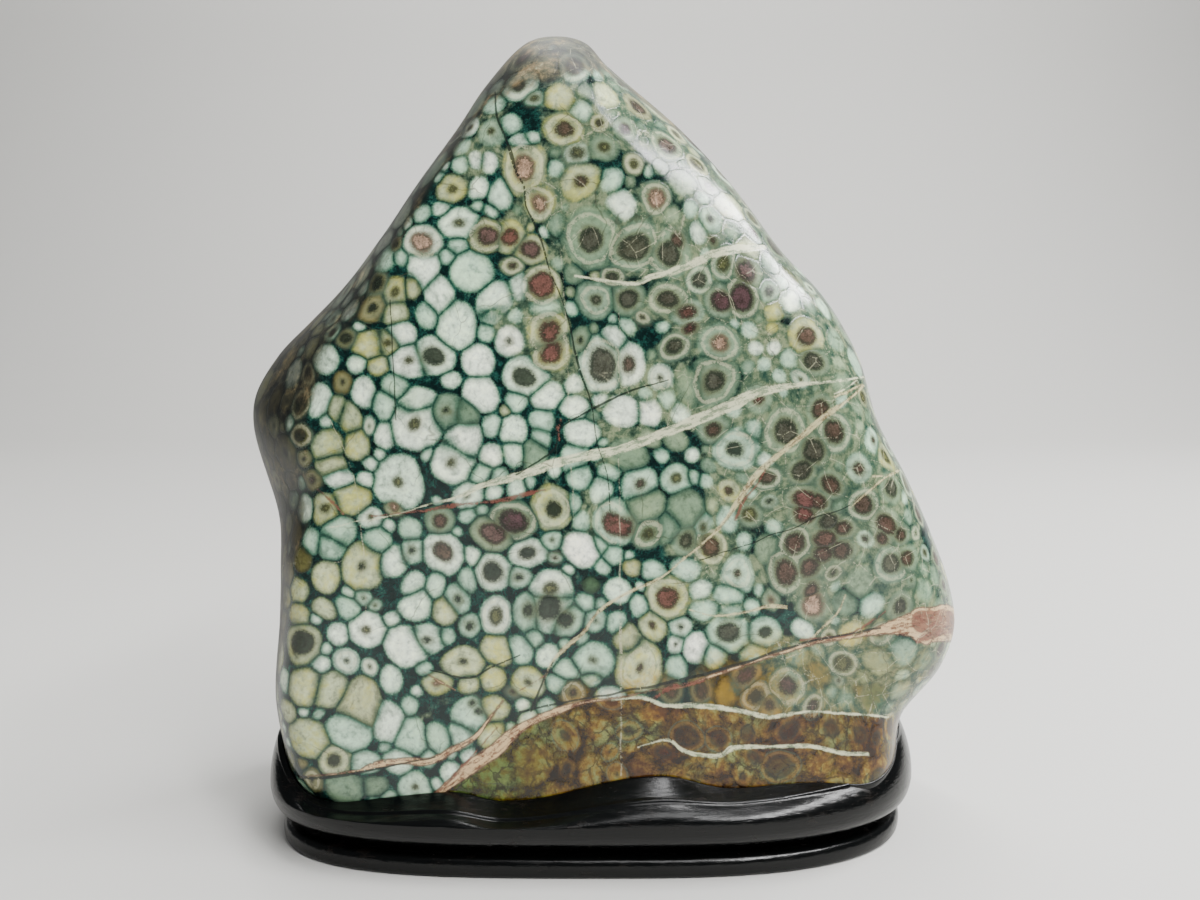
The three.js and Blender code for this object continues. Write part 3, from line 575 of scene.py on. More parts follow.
def new_object(name, points, faces):
    """A smooth-shaded mesh object from points in millimetres and a list of faces."""
    mesh = bpy.data.meshes.new(name)
    mesh.from_pydata(np.asarray(points) * MM, [], faces)
    mesh.polygons.foreach_set("use_smooth", np.full(len(mesh.polygons), True))
    mesh.update()
    piece = bpy.data.objects.new(name, mesh)
    bpy.context.scene.collection.objects.link(piece)
    return piece


def square_rings(rings):
    """A disc drawn as nested squares: for each vertex of a (2n+1) x (2n+1) grid, its ring from 0
    in the middle to n, and how far round that ring it lies, from 0 to 1."""
    i, j = np.meshgrid(np.arange(-rings, rings + 1), np.arange(-rings, rings + 1), indexing="ij")
    ring = np.maximum(abs(i), abs(j))
    safe = np.maximum(ring, 1)
    side_place = np.select(
        [i == ring, j == ring, i == -ring],
        [j / safe, 2 - i / safe, 4 - j / safe],
        6 + i / safe,
    )
    return ring, np.mod(side_place, 8.0) / 8.0


def stone_side(side):
    """Points of one face of the stone on the grid of square_rings. The outer rings climb the
    shoulder at equal steps of its quarter turn, and the rest go evenly to the middle."""
    ring, turn = square_rings(STONE_RINGS)
    length = np.concatenate([[0], np.cumsum(np.hypot(*np.diff(OUTLINE_POINTS, axis=0).T))])
    angle = np.interp(turn * length[-1], length, OUTLINE_ANGLES)
    step = STONE_RINGS - ring
    place = np.where(
        step <= SHOULDER_RINGS,
        step / SHOULDER_RINGS,
        1 + (step - SHOULDER_RINGS) / (STONE_RINGS - SHOULDER_RINGS),
    )
    shoulders = around(STONE_SHOULDERS, angle)
    width = shoulders[0] if side == FRONT else shoulders[2]
    radius = outline_radius(angle)
    inward = np.where(
        place < 1,
        width * (1 - np.cos(np.minimum(place, 1) * np.pi / 2)),
        width + (radius - width) * (place - 1),
    )
    x = STONE_MIDDLE[0] + (radius - inward) * np.cos(angle)
    z = STONE_MIDDLE[1] + (radius - inward) * np.sin(angle)
    y = stone_surface(angle, inward, side)
    return np.stack([x, y, z], -1), ring


def make_stone():
    """Both faces of the stone, joined along the outline that they share."""
    front, ring = stone_side(FRONT)
    back, _ = stone_side(BACK)
    count = front.shape[0]
    number = np.arange(count * count).reshape(count, count)
    inner = ring < STONE_RINGS
    back_number = number.copy()
    back_number[inner] = count * count + np.arange(inner.sum())

    def quads(index, flip):
        """Four-sided faces between the neighbours of a grid."""
        corners = [index[:-1, :-1], index[1:, :-1], index[1:, 1:], index[:-1, 1:]]
        return np.stack(corners[::-1] if flip else corners, -1).reshape(-1, 4)

    points = np.vstack([front.reshape(-1, 3), back[inner]])
    faces = np.vstack([quads(number, False), quads(back_number, True)])
    return new_object("polished_stone", points, faces.tolist())


def plan_point(angle, out):
    """A point of the stand's plan: on the superellipse |x/a|^n + |y/b|^n = 1, whose power n goes
    from its left to its right value with the cosine, moved out along the outline's normal."""

    def outline(at):
        power = CORNER_POWER_LEFT + (CORNER_POWER_RIGHT - CORNER_POWER_LEFT) * (1 + np.cos(at)) / 2
        along = (abs(np.cos(at)) / FOOT_HALF_LENGTH) ** power
        across = (abs(np.sin(at)) / FOOT_HALF_DEPTH) ** power
        far = (along + across) ** (-1 / power)
        return np.stack([far * np.cos(at), far * np.sin(at)], -1)

    step = math.radians(1)
    tangent = outline(angle + step) - outline(angle - step)
    tangent /= np.linalg.norm(tangent, axis=-1, keepdims=True)
    here = outline(angle)
    x = FOOT_MIDDLE_X + here[..., 0] + out * tangent[..., 1]
    return x, here[..., 1] - out * tangent[..., 0]


def bevel_height(out, rim, fall, run, edge_out):
    """Height of the rim's top a distance out. It falls in a straight line from the stone to the
    start of the rim's rounded edge."""
    return rim - fall * (out - (edge_out - run)) / (run - RIM_ROUND)


def meet_stone(angle, height_at):
    """How far out the stand's surface meets its seat in each direction, by halving again and
    again the stretch between a point outside the stone and one inside it."""
    outside_stone, inside_stone, halvings = 3.0, -30.0, 30
    outer = np.full(angle.shape, outside_stone)
    inner = np.full(angle.shape, inside_stone)
    for _ in range(halvings):
        middle = (outer + inner) / 2
        x, y = plan_point(angle, middle)
        inside = in_stone(x, y, height_at(middle), SEAT_GAP)
        inner = np.where(inside, middle, inner)
        outer = np.where(inside, outer, middle)
    return outer


def make_stand():
    """The stand as rings round its plan. Foot, groove and tray follow the section. The wall climbs
    at equal steps and leans in by a power of the height climbed, a quarter circle rounds the
    rim's edge, the bevel rises to the stone, and the seat goes down inside along it."""
    angle = np.linspace(-np.pi, np.pi, STAND_SIDES, endpoint=False)
    rim, fall, run, edge_out = around(RIM_WAVE, angle)
    section = smooth_curve(FOOT_SECTION, CURVE_STEPS)
    levels = [(np.full_like(angle, out), np.full_like(angle, z)) for out, z in section]
    edge = rim - fall
    for share in np.linspace(0, 1, WALL_RINGS + 1)[1:]:
        out = TRAY_BULGE + (edge_out - TRAY_BULGE) * share ** WALL_LEAN
        levels.append((out, TRAY_BULGE_Z + (edge - RIM_ROUND - TRAY_BULGE_Z) * share))
    for quarter in np.linspace(0, np.pi / 2, RIM_RINGS + 1)[1:]:
        out = edge_out - RIM_ROUND * (1 - math.cos(quarter))
        levels.append((out, edge - RIM_ROUND * (1 - math.sin(quarter))))
    seat_out = meet_stone(angle, lambda out: bevel_height(out, rim, fall, run, edge_out))
    seat_top = bevel_height(seat_out, rim, fall, run, edge_out)
    start = edge_out - RIM_ROUND
    for share in BEVEL_SHARES:
        out = start + (seat_out - start) * share
        levels.append((out, bevel_height(out, rim, fall, run, edge_out)))
    levels.append((seat_out, seat_top - SEAT_EDGE_DROP))
    for share in SEAT_SHARES:
        height = seat_top + (SEAT_WALL_FOOT - seat_top) * share
        levels.append((meet_stone(angle, lambda out: height), height))
    rings = np.array([np.stack([*plan_point(angle, out), z], -1) for out, z in levels])
    return closed_rings("lacquered_stand", rings, (FOOT_MIDDLE_X, 0, 0), (FOOT_MIDDLE_X, 0, SEAT_FLOOR))


def closed_rings(name, rings, first, last):
    """Rings joined in order with four-sided faces, closed by a fan to a point at each end."""
    levels, sides = rings.shape[:2]
    index = 1 + np.arange(levels * sides).reshape(levels, sides)
    after = np.roll(index, -1, axis=1)
    walls = np.stack([index[:-1], after[:-1], after[1:], index[1:]], -1).reshape(-1, 4)
    end = 1 + levels * sides
    bottom = np.stack([after[0], index[0], np.zeros(sides, int)], -1)
    top = np.stack([index[-1], after[-1], np.full(sides, end)], -1)
    points = np.vstack([[first], rings.reshape(-1, 3), [last]])
    return new_object(name, points, walls.tolist() + bottom.tolist() + top.tolist())


# The stone's pattern, written onto its mesh.

def warp(points):
    """How far the pattern is pushed aside at each point: for every axis, the sum of a long sine
    wave, a middle one and one as long as a small cell, which run in different directions."""
    pushed = np.zeros_like(points)
    for axis in range(3):
        for number, (height, length) in enumerate(WARP_WAVES):
            way = np.roll(WARP_WAYS[number], axis)
            phase = points @ way * (2 * np.pi / length) + WARP_PHASE * axis + number
            pushed[:, axis] += height * np.sin(phase)
    return pushed


def vein_sheet(points):
    """Where a point lies on the plane that the veins are drawn on: its x and z, each with a share
    of the depth and a sine wave along the other added."""
    x, y, z = points[:, 0], points[:, 1], points[:, 2]
    across = x + VEIN_SHIFT[0] * y + VEIN_WAVE * np.sin(z / VEIN_WAVE_LENGTHS[0])
    up = z + VEIN_SHIFT[1] * y + VEIN_WAVE * np.sin(x / VEIN_WAVE_LENGTHS[1])
    return np.stack([across, up], -1)


def hand_read_cells():
    """The cells of the table: their centres, carried onto the stone and pushed along with the
    pattern, and arrays of radii, tones, cores, core tones, rings and gaps."""
    rows = [row + NO_CORE if len(row) == 4 else row for row in FACE_CELLS]
    centres = carry_onto_stone([row[:2] for row in rows])
    centres = centres + warp(centres)
    radius = np.array([row[2] for row in rows]) * FACE_PIXEL
    core = np.array([row[4] for row in rows]) * FACE_PIXEL
    body_tone = np.array([BODY_TONES.get(row[3], 0.0) for row in rows])
    core_tone = np.array([CORE_TONES.get(row[5], 0.0) for row in rows])
    ring = np.array([float(row[6]) for row in rows])
    gap = np.array([row[3] == "gap" for row in rows])
    return centres, radius, body_tone, core, core_tone, ring, gap


def blend_in(value, low, high):
    """0 at low and 1 at high, eased between them along t * t * (3 - 2 * t). Where high is the
    smaller number, the share falls as the value rises."""
    t = np.clip((value - low) / (high - low), 0, 1)
    return t * t * (3 - 2 * t)


def fill_room(rng, places, room, sizes):
    """Greedy packing. Each place's room is its distance to the nearest cell so far. For each
    size in turn, places with room enough get a cell in random order, and all room is updated."""
    chosen, radii = [], []
    for size, fit, most in sizes:
        order = rng.permutation(len(places))
        made = 0
        for index in order:
            if room[index] < size * fit or made >= most:
                continue
            radius = size * rng.uniform(*SIZE_SPREAD)
            chosen.append(index)
            radii.append(radius)
            made += 1
            np.minimum(room, np.linalg.norm(places - places[index], axis=1) - radius, out=room)
    return np.array(chosen), np.array(radii)


def random_kinds(rng, places, radii):
    """Kinds of the random cells at these places: the body's tone, the core's radius and tone,
    and 1 for a ring. They are white with small cores on the lower left, greener with wide cores
    to the right and upward, where slow waves shift the border, and olive or cream on the left
    flank."""
    x, y, z = places.T
    count = len(places)
    drift = 14 * np.sin(z / 19 + 1) + 9 * np.sin(y / 13 + z / 31)
    greenness = blend_in(x + 0.45 * (z - 95) + drift, *GREEN_STRETCH)
    flank = blend_in(x, *FLANK_STRETCH)
    white = rng.choice(WHITE_BODIES[0], count, p=WHITE_BODIES[1])
    green = rng.choice(GREEN_BODIES[0], count, p=GREEN_BODIES[1])
    body = np.where(rng.random(count) < greenness, green, white)
    body = np.where(rng.random(count) < flank, rng.choice(FLANK_BODIES, count), body)
    eyed_share = np.where(radii > LARGE_CELL, LARGE_EYED, SMALL_EYED)
    eyed = rng.random(count) < eyed_share * (0.55 + 0.45 * greenness)
    wide = rng.random(count) < 0.15 + 0.65 * greenness
    core_share = np.where(wide, rng.uniform(*WIDE_CORE, count), rng.uniform(*SMALL_CORE, count))
    wide_tone = rng.choice(WIDE_CORES[0], count, p=WIDE_CORES[1])
    core_tone = np.where(wide, wide_tone, rng.choice(SMALL_CORES, count))
    ring = np.where(eyed & (rng.random(count) < RINGED_SHARE), 1.0, 0.0)
    return body, np.where(eyed, radii * core_share, 0), core_tone, ring


def lay_cells(centres_of_faces, areas):
    """Every cell of the stone: those read off the photograph, and cells packed at random between
    and behind them. Tones drift a little at random."""
    rng = np.random.default_rng(SEED)
    centres, radius, body, core, core_tone, ring, gap = hand_read_cells()
    picked = rng.choice(len(centres_of_faces), CANDIDATE_PLACES, replace=False, p=areas / areas.sum())
    plain_places = centres_of_faces[picked]
    places = plain_places + warp(plain_places)
    room = np.full(len(places), np.inf)
    for centre, size in zip(centres, np.maximum(radius, core)):
        np.minimum(room, np.linalg.norm(places - centre, axis=1) - size, out=room)
    chosen, radii = fill_room(rng, places, room, FILLING_SIZES)
    new_body, new_core, new_core_tone, new_ring = random_kinds(rng, plain_places[chosen], radii)
    tone_drift = rng.normal(0, TONE_DRIFT, len(body) + len(radii))
    return {
        "centre": np.vstack([centres, places[chosen]]),
        "radius": np.concatenate([np.where(gap, 0, radius + CELL_GROWTH), radii + CELL_GROWTH]),
        "body": np.clip(np.concatenate([body, new_body]) + tone_drift, 0, 1),
        "core": np.concatenate([core, new_core]),
        "core_tone": np.clip(np.concatenate([core_tone, new_core_tone]) + tone_drift / 2, 0, 1),
        "ring": np.concatenate([ring * (radius - core), new_ring * (radii - new_core)]) * RING_SHARE,
    }


def nearest_rows(points, centres, radii, count):
    """For each point, the cells whose surfaces are nearest, nearest first, worked out in blocks."""
    found = np.empty((len(points), count), int)
    points, centres, radii = (values.astype(np.float32) for values in (points, centres, radii))
    lengths = (centres ** 2).sum(1)
    for start in range(0, len(points), BLOCK):
        block = points[start:start + BLOCK]
        square = (block ** 2).sum(1)[:, None] + lengths - 2 * block @ centres.T
        reach = np.sqrt(np.maximum(square, 0)) - radii
        near = np.argpartition(reach, count, axis=1)[:, :count]
        order = np.argsort(np.take_along_axis(reach, near, 1), axis=1)
        found[start:start + BLOCK] = np.take_along_axis(near, order, 1)
    return found


def vein_stretches(kind):
    """Straight stretches of every vein of a kind on the vein sheet: each end's place and half
    width, from a smooth curve through the points read off the photograph."""
    starts, ends = [], []
    for points in VEINS[kind]:
        curve = smooth_curve(points, CURVE_STEPS)
        spots = vein_sheet(carry_onto_stone(curve[:, :2]))
        row = np.column_stack([spots, np.maximum(curve[:, 2], 0.5) * FACE_PIXEL / 2])
        starts.append(row[:-1])
        ends.append(row[1:])
    return np.vstack(starts), np.vstack(ends)


def distance_to_stretches(points, starts, ends):
    """Distance from each point to each straight stretch, less its half width there."""
    line = ends - starts
    offset = points[:, None] - starts[None, :, :2]
    share = (offset * line[None, :, :2]).sum(2) / np.maximum((line[:, :2] ** 2).sum(1), 1e-9)
    share = np.clip(share, 0, 1)
    gap = np.linalg.norm(offset - share[..., None] * line[None, :, :2], axis=2)
    return gap - (starts[:, 2] + share * line[:, 2])


def add_attribute(mesh, name, domain, values):
    """A vector attribute of a mesh, with one vector for each of its points or faces."""
    layer = mesh.attributes.new(name, "FLOAT_VECTOR", domain)
    layer.data.foreach_set("vector", np.ascontiguousarray(values, dtype=np.float32).ravel())


def below_vein(spots, kind, number):
    """How far each spot of the vein sheet lies below one vein, straight down."""
    curve = smooth_curve(VEINS[kind][number], CURVE_STEPS)
    line = vein_sheet(carry_onto_stone(curve[:, :2]))
    order = np.argsort(line[:, 0])
    return np.interp(spots[:, 0], line[order, 0], line[order, 1]) - spots[:, 1]


def shoulder_place(points):
    """Where each point lies on the stone's shoulder: how far in from the outline, in millimetres
    and as a share of the shoulder's width, and its direction from the stone's middle."""
    across, up = points[:, 0] - STONE_MIDDLE[0], points[:, 2] - STONE_MIDDLE[1]
    angle = np.arctan2(up, across)
    inward = outline_radius(angle) - np.hypot(across, up)
    return inward, inward / around(STONE_SHOULDERS, angle)[0], angle


def skin_place(points):
    """Coordinates for the skin's streaks, which run along the outline: how far in over the
    shoulder, times SKIN_STREAKS_ACROSS, and a circle of radius SKIN_STREAKS_ROUND by direction."""
    _, share, angle = shoulder_place(points)
    round_x = SKIN_STREAKS_ROUND * np.cos(angle)
    round_z = SKIN_STREAKS_ROUND * np.sin(angle)
    return np.stack([share * SKIN_STREAKS_ACROSS, round_x, round_z], -1)


def zones(points, spots):
    """Three shares for each point: rust, below the veins that bound it; olive, a warm tint that
    fades out above them; and the weathered skin that the polish has left on the peak and the
    outline itself, widest on the left shoulder and flank, where it is also painted shade for the
    side turned away from the light."""
    x, _, z = points.T
    under_pink = below_vein(spots, *PINK_ABOVE_RUST)
    under_cream = below_vein(spots, *PALE_IN_RUST)
    whole = blend_in(x, *RUST_WHOLE_STRETCH)
    rust = np.maximum(blend_in(under_cream, -0.5, 0.8), whole) * blend_in(under_pink, -0.3, 0.5)
    rust *= blend_in(x, *RUST_LEFT_END)
    pale_side = blend_in(x, *PALE_STRETCH) * blend_in(-under_cream, -0.5, 0.5)
    olive = blend_in(under_pink, *OLIVE_BELOW_VEIN) * (1 - 0.65 * pale_side)
    olive = olive * blend_in(x, *OLIVE_LEFT_END)
    inward, _, angle = shoulder_place(points)
    # The skin's band inside the outline, widest on the left, where it also paints shade.
    edge = 1 - blend_in(inward / around(SKIN_AND_SHADE_WIDTH, angle)[0], *SKIN_AND_SHADE_FADE)
    peak = blend_in(z - PEAK_SLOPE * x, *PEAK_SKIN)
    return np.stack([rust, olive, np.maximum(peak, edge)], -1)


def pale_haze(points):
    """How far the dark ground between the cells is filled with pale grey-green: it rises to the
    right and upward, shifted in patches 20 to 40 mm across by a product of two sines and a third
    one, and it nearly vanishes at each gap, along a bell curve as wide as GAP_REACH."""
    x, y, z = points.T
    patches = np.sin(x / 7.5 + z / 23 + 1.3) * np.sin(z / 8.5 - x / 29) + 0.6 * np.sin(y / 9 + x / 17)
    haze = blend_in(x + 0.35 * (z - 105) + HAZE_PATCHES * patches, *HAZE_STRETCH)
    for gap in carry_onto_stone([row[:2] for row in FACE_CELLS if row[3] == "gap"]):
        haze *= 1 - 0.9 * np.exp(-((x - gap[0]) ** 2 + (z - gap[2]) ** 2) / GAP_REACH ** 2)
    return haze


def write_nearest(mesh, name, count, middles, centres, traits):
    """Gives each face the centre and traits of the cells or cores that are nearest to its middle.
    Traits are the radius, the tone and how far out the ring runs."""
    near = nearest_rows(middles, centres, traits[:, 0], count)
    for number in range(count):
        rows = near[:, number]
        add_attribute(mesh, f"{name}_{number}_centre", "FACE", centres[rows])
        add_attribute(mesh, f"{name}_{number}_traits", "FACE", traits[rows])


def write_veins(mesh, middles):
    """Gives each face the ends of the nearest stretch of each kind of vein."""
    for kind in VEINS:
        starts, ends = vein_stretches(kind)
        best = np.concatenate([
            distance_to_stretches(middles[i:i + BLOCK], starts, ends).argmin(1)
            for i in range(0, len(middles), BLOCK)
        ])
        add_attribute(mesh, f"{kind}_start", "FACE", starts[best])
        add_attribute(mesh, f"{kind}_end", "FACE", ends[best])


def write_stone_pattern(stone):
    """Writes what the stone's material reads. Points hold their place in the warped pattern, on
    the vein sheet (with the haze) and on the skin, and the zones. Faces hold the nearest cells
    and cores, and the nearest stretch of each kind of vein."""
    mesh = stone.data
    points = np.empty(len(mesh.vertices) * 3, np.float32)
    mesh.vertices.foreach_get("co", points)
    points = points.reshape(-1, 3).astype(float) / MM
    corners = np.empty(len(mesh.loops), np.int32)
    mesh.loops.foreach_get("vertex_index", corners)
    corners = corners.reshape(-1, 4)
    areas = np.empty(len(mesh.polygons), np.float32)
    mesh.polygons.foreach_get("area", areas)
    place = points + warp(points)
    spots = vein_sheet(points)
    add_attribute(mesh, "place", "POINT", place)
    add_attribute(mesh, "vein_spot", "POINT", np.column_stack([spots, pale_haze(points)]))
    add_attribute(mesh, "zones", "POINT", zones(points, spots))
    add_attribute(mesh, "skin_place", "POINT", skin_place(points))
    cells = lay_cells(points[corners].mean(1), areas.astype(float))
    cell_traits = np.stack([cells["radius"], cells["body"], cells["ring"]], -1)
    core_traits = np.stack([cells["core"], cells["core_tone"], cells["ring"]], -1)
    eyed = cells["core"] > 0
    middles = place[corners].mean(1)
    write_nearest(mesh, "cell", CELLS_PER_FACE, middles, cells["centre"], cell_traits)
    write_nearest(mesh, "core", CORES_PER_FACE, middles, cells["centre"][eyed], core_traits[eyed])
    write_veins(mesh, spots[corners].mean(1))


# Materials.

class Field:
    """A value that varies over a surface. Arithmetic on it adds Math nodes to its material."""

    def __init__(self, finish, socket):
        self.finish = finish
        self.socket = socket

    def math(self, operation, first, second=0.0):
        """A Math node on two values."""
        return self.finish.node("ShaderNodeMath", {"operation": operation}, {0: first, 1: second})

    def __add__(self, other):
        return self.math("ADD", self, other)

    def __radd__(self, other):
        return self.math("ADD", other, self)

    def __sub__(self, other):
        return self.math("SUBTRACT", self, other)

    def __rsub__(self, other):
        return self.math("SUBTRACT", other, self)

    def __mul__(self, other):
        return self.math("MULTIPLY", self, other)

    def __rmul__(self, other):
        return self.math("MULTIPLY", other, self)

    def __truediv__(self, other):
        return self.math("DIVIDE", self, other)

    def __lt__(self, other):
        return self.math("LESS_THAN", self, other)

    def __abs__(self):
        return self.math("ABSOLUTE", self)


class Finish:
    """One material, and what adds nodes to it. Each method gives back a Field."""

    def __init__(self, name):
        self.material = bpy.data.materials.new(name)
        self.material.use_nodes = True
        self.tree = self.material.node_tree
        self.shader = self.tree.nodes["Principled BSDF"]

    def node(self, kind, settings=None, values=None, output=0):
        """Any node: its type, its settings, a ramp's stops among them, then its sockets. The
        field is one of its outputs."""
        made = self.tree.nodes.new(kind)
        for setting, value in (settings or {}).items():
            if setting == "stops":
                set_stops(made.color_ramp, value)
            else:
                setattr(made, setting, value)
        self.connect(made, values or {})
        return Field(self, made.outputs[output])

    def connect(self, node, values):
        """Links a node's inputs to fields, and sets those that get plain values."""
        for socket, value in values.items():
            if isinstance(value, Field):
                self.tree.links.new(value.socket, node.inputs[socket])
            else:
                node.inputs[socket].default_value = value

    def attribute(self, name):
        """A vector that the mesh holds for each point or face."""
        return self.node("ShaderNodeAttribute", {"attribute_name": name}, output="Vector")

    def parts(self, vector):
        """The three numbers of a vector."""
        split = self.node("ShaderNodeSeparateXYZ", values={0: vector}).socket.node
        return [Field(self, socket) for socket in split.outputs]

    def vector_math(self, operation, first, second, output=0):
        """A Vector Math node on two vectors, whose output "Value" is a number."""
        return self.node("ShaderNodeVectorMath", {"operation": operation}, {0: first, 1: second}, output)

    def smooth(self, value, low, high):
        """0 below low and 1 above high, eased between them, as blend_in is."""
        settings = {"interpolation_type": "SMOOTHSTEP"}
        return self.node("ShaderNodeMapRange", settings, {0: value, 1: low, 2: high, 3: 0.0, 4: 1.0})

    def least(self, first, second):
        """The smaller of a field and another value."""
        return first.math("MINIMUM", first, second)

    def most(self, first, second):
        """The larger of a field and another value."""
        return first.math("MAXIMUM", first, second)

    def band(self, value, middle, half):
        """1 where a value is within half of the middle, fading out over the same again."""
        return 1 - self.smooth(abs(value - middle), half * 0.5, half * 1.5)

    def mix(self, share, first, second):
        """A number between two numbers."""
        return self.node("ShaderNodeMix", {"data_type": "FLOAT"}, {0: share, 2: first, 3: second})

    def blend(self, share, first, second, mode="MIX"):
        """A colour between two colours, or the second worked into the first by a blend mode."""
        settings = {"data_type": "RGBA", "blend_type": mode}
        return self.node("ShaderNodeMix", settings, {0: share, 6: first, 7: second}, 2)

    def scaled(self, vector, number):
        """A vector, or a colour to make it lighter or darker, times a number."""
        return self.node("ShaderNodeVectorMath", {"operation": "SCALE"}, {0: vector, 3: number})

    def noise(self, place, size, detail=2.0, rough=0.5, output=0):
        """Cloudy noise from about 0.3 to 0.7, whose lumps are about size long in the place's own
        units. Output 1 is the same as a colour, of three unlike noises."""
        values = {"Vector": place, "Scale": 1 / size, "Detail": detail, "Roughness": rough}
        return self.node("ShaderNodeTexNoise", {}, values, output)

    def cracked(self, place, size):
        """Distance to the edges of a net of cells about size wide, as a share of size."""
        values = {"Vector": place, "Scale": 1 / size}
        return self.node("ShaderNodeTexVoronoi", {"feature": "DISTANCE_TO_EDGE"}, values)

    def ramp(self, value, stops):
        """A colour that follows a number through stops of [position, colour]."""
        return self.node("ShaderNodeValToRGB", {"stops": stops}, {0: value})


def set_stops(ramp, stops):
    """Gives a colour ramp its stops, each a position and a colour."""
    while len(ramp.elements) < len(stops):
        ramp.elements.new(1.0)
    for element, (position, colour) in zip(ramp.elements, stops):
        element.position = position
        element.color = colour


def paint(red, green, blue):
    """A colour as a maker reads it off a screen, 0 to 255, as the linear values that shaders use."""
    values = np.array([red, green, blue]) / 255
    linear = np.where(values <= 0.04045, values / 12.92, ((values + 0.055) / 1.055) ** 2.4)
    return (*linear.tolist(), 1.0)


def nearest_cells(finish, place):
    """Signed distances to the edges of the nearest and second nearest cell, and the nearest
    one's tone and how far out its ring runs."""
    first = second = tone = ring = None
    for number in range(CELLS_PER_FACE):
        radius, this_tone, this_ring = finish.parts(finish.attribute(f"cell_{number}_traits"))
        centre = finish.attribute(f"cell_{number}_centre")
        gap = finish.vector_math("DISTANCE", place, centre, "Value") - radius
        if first is None:
            first, tone, ring = gap, this_tone, this_ring
            continue
        closer = gap < first
        further = finish.most(first, gap)
        second = further if second is None else finish.least(second, further)
        first = finish.least(first, gap)
        tone = finish.mix(closer, tone, this_tone)
        ring = finish.mix(closer, ring, this_ring)
    return first, second, tone, ring


def nearest_core(finish, place):
    """Signed distance to the nearest core's edge, its tone and how far out its ring runs."""
    chosen = None
    for number in range(CORES_PER_FACE):
        radius, tone, ring = finish.parts(finish.attribute(f"core_{number}_traits"))
        centre = finish.attribute(f"core_{number}_centre")
        gap = finish.vector_math("DISTANCE", place, centre, "Value") - radius
        if chosen is None:
            chosen = [gap, tone, ring]
            continue
        closer = gap < chosen[0]
        chosen = [finish.mix(closer, old, new) for old, new in zip(chosen, [gap, tone, ring])]
    return chosen


def vein_depth(finish, spot, kind):
    """How deep inside a vein of a kind a point lies, which is the vein's half width less the
    distance to the nearest straight stretch of it, and how far to one side of that stretch."""
    start, end = finish.attribute(f"{kind}_start"), finish.attribute(f"{kind}_end")
    flat = (1.0, 1.0, 0.0)
    line = finish.vector_math("MULTIPLY", finish.vector_math("SUBTRACT", end, start), flat)
    offset = finish.vector_math("MULTIPLY", finish.vector_math("SUBTRACT", spot, start), flat)
    along = finish.vector_math("DOT_PRODUCT", offset, line, "Value")
    whole = finish.vector_math("DOT_PRODUCT", line, line, "Value")
    share = finish.least(finish.most(along / (whole + 1e-6), 0.0), 1.0)
    gap = finish.vector_math("DISTANCE", offset, finish.scaled(line, share), "Value")
    square_to_line = finish.vector_math("CROSS_PRODUCT", line, (0.0, 0.0, 1.0))
    aside = finish.vector_math("DOT_PRODUCT", offset, square_to_line, "Value")
    aside = aside / finish.vector_math("DISTANCE", line, (0.0, 0.0, 0.0), "Value")
    return finish.mix(share, finish.parts(start)[2], finish.parts(end)[2]) - gap, aside


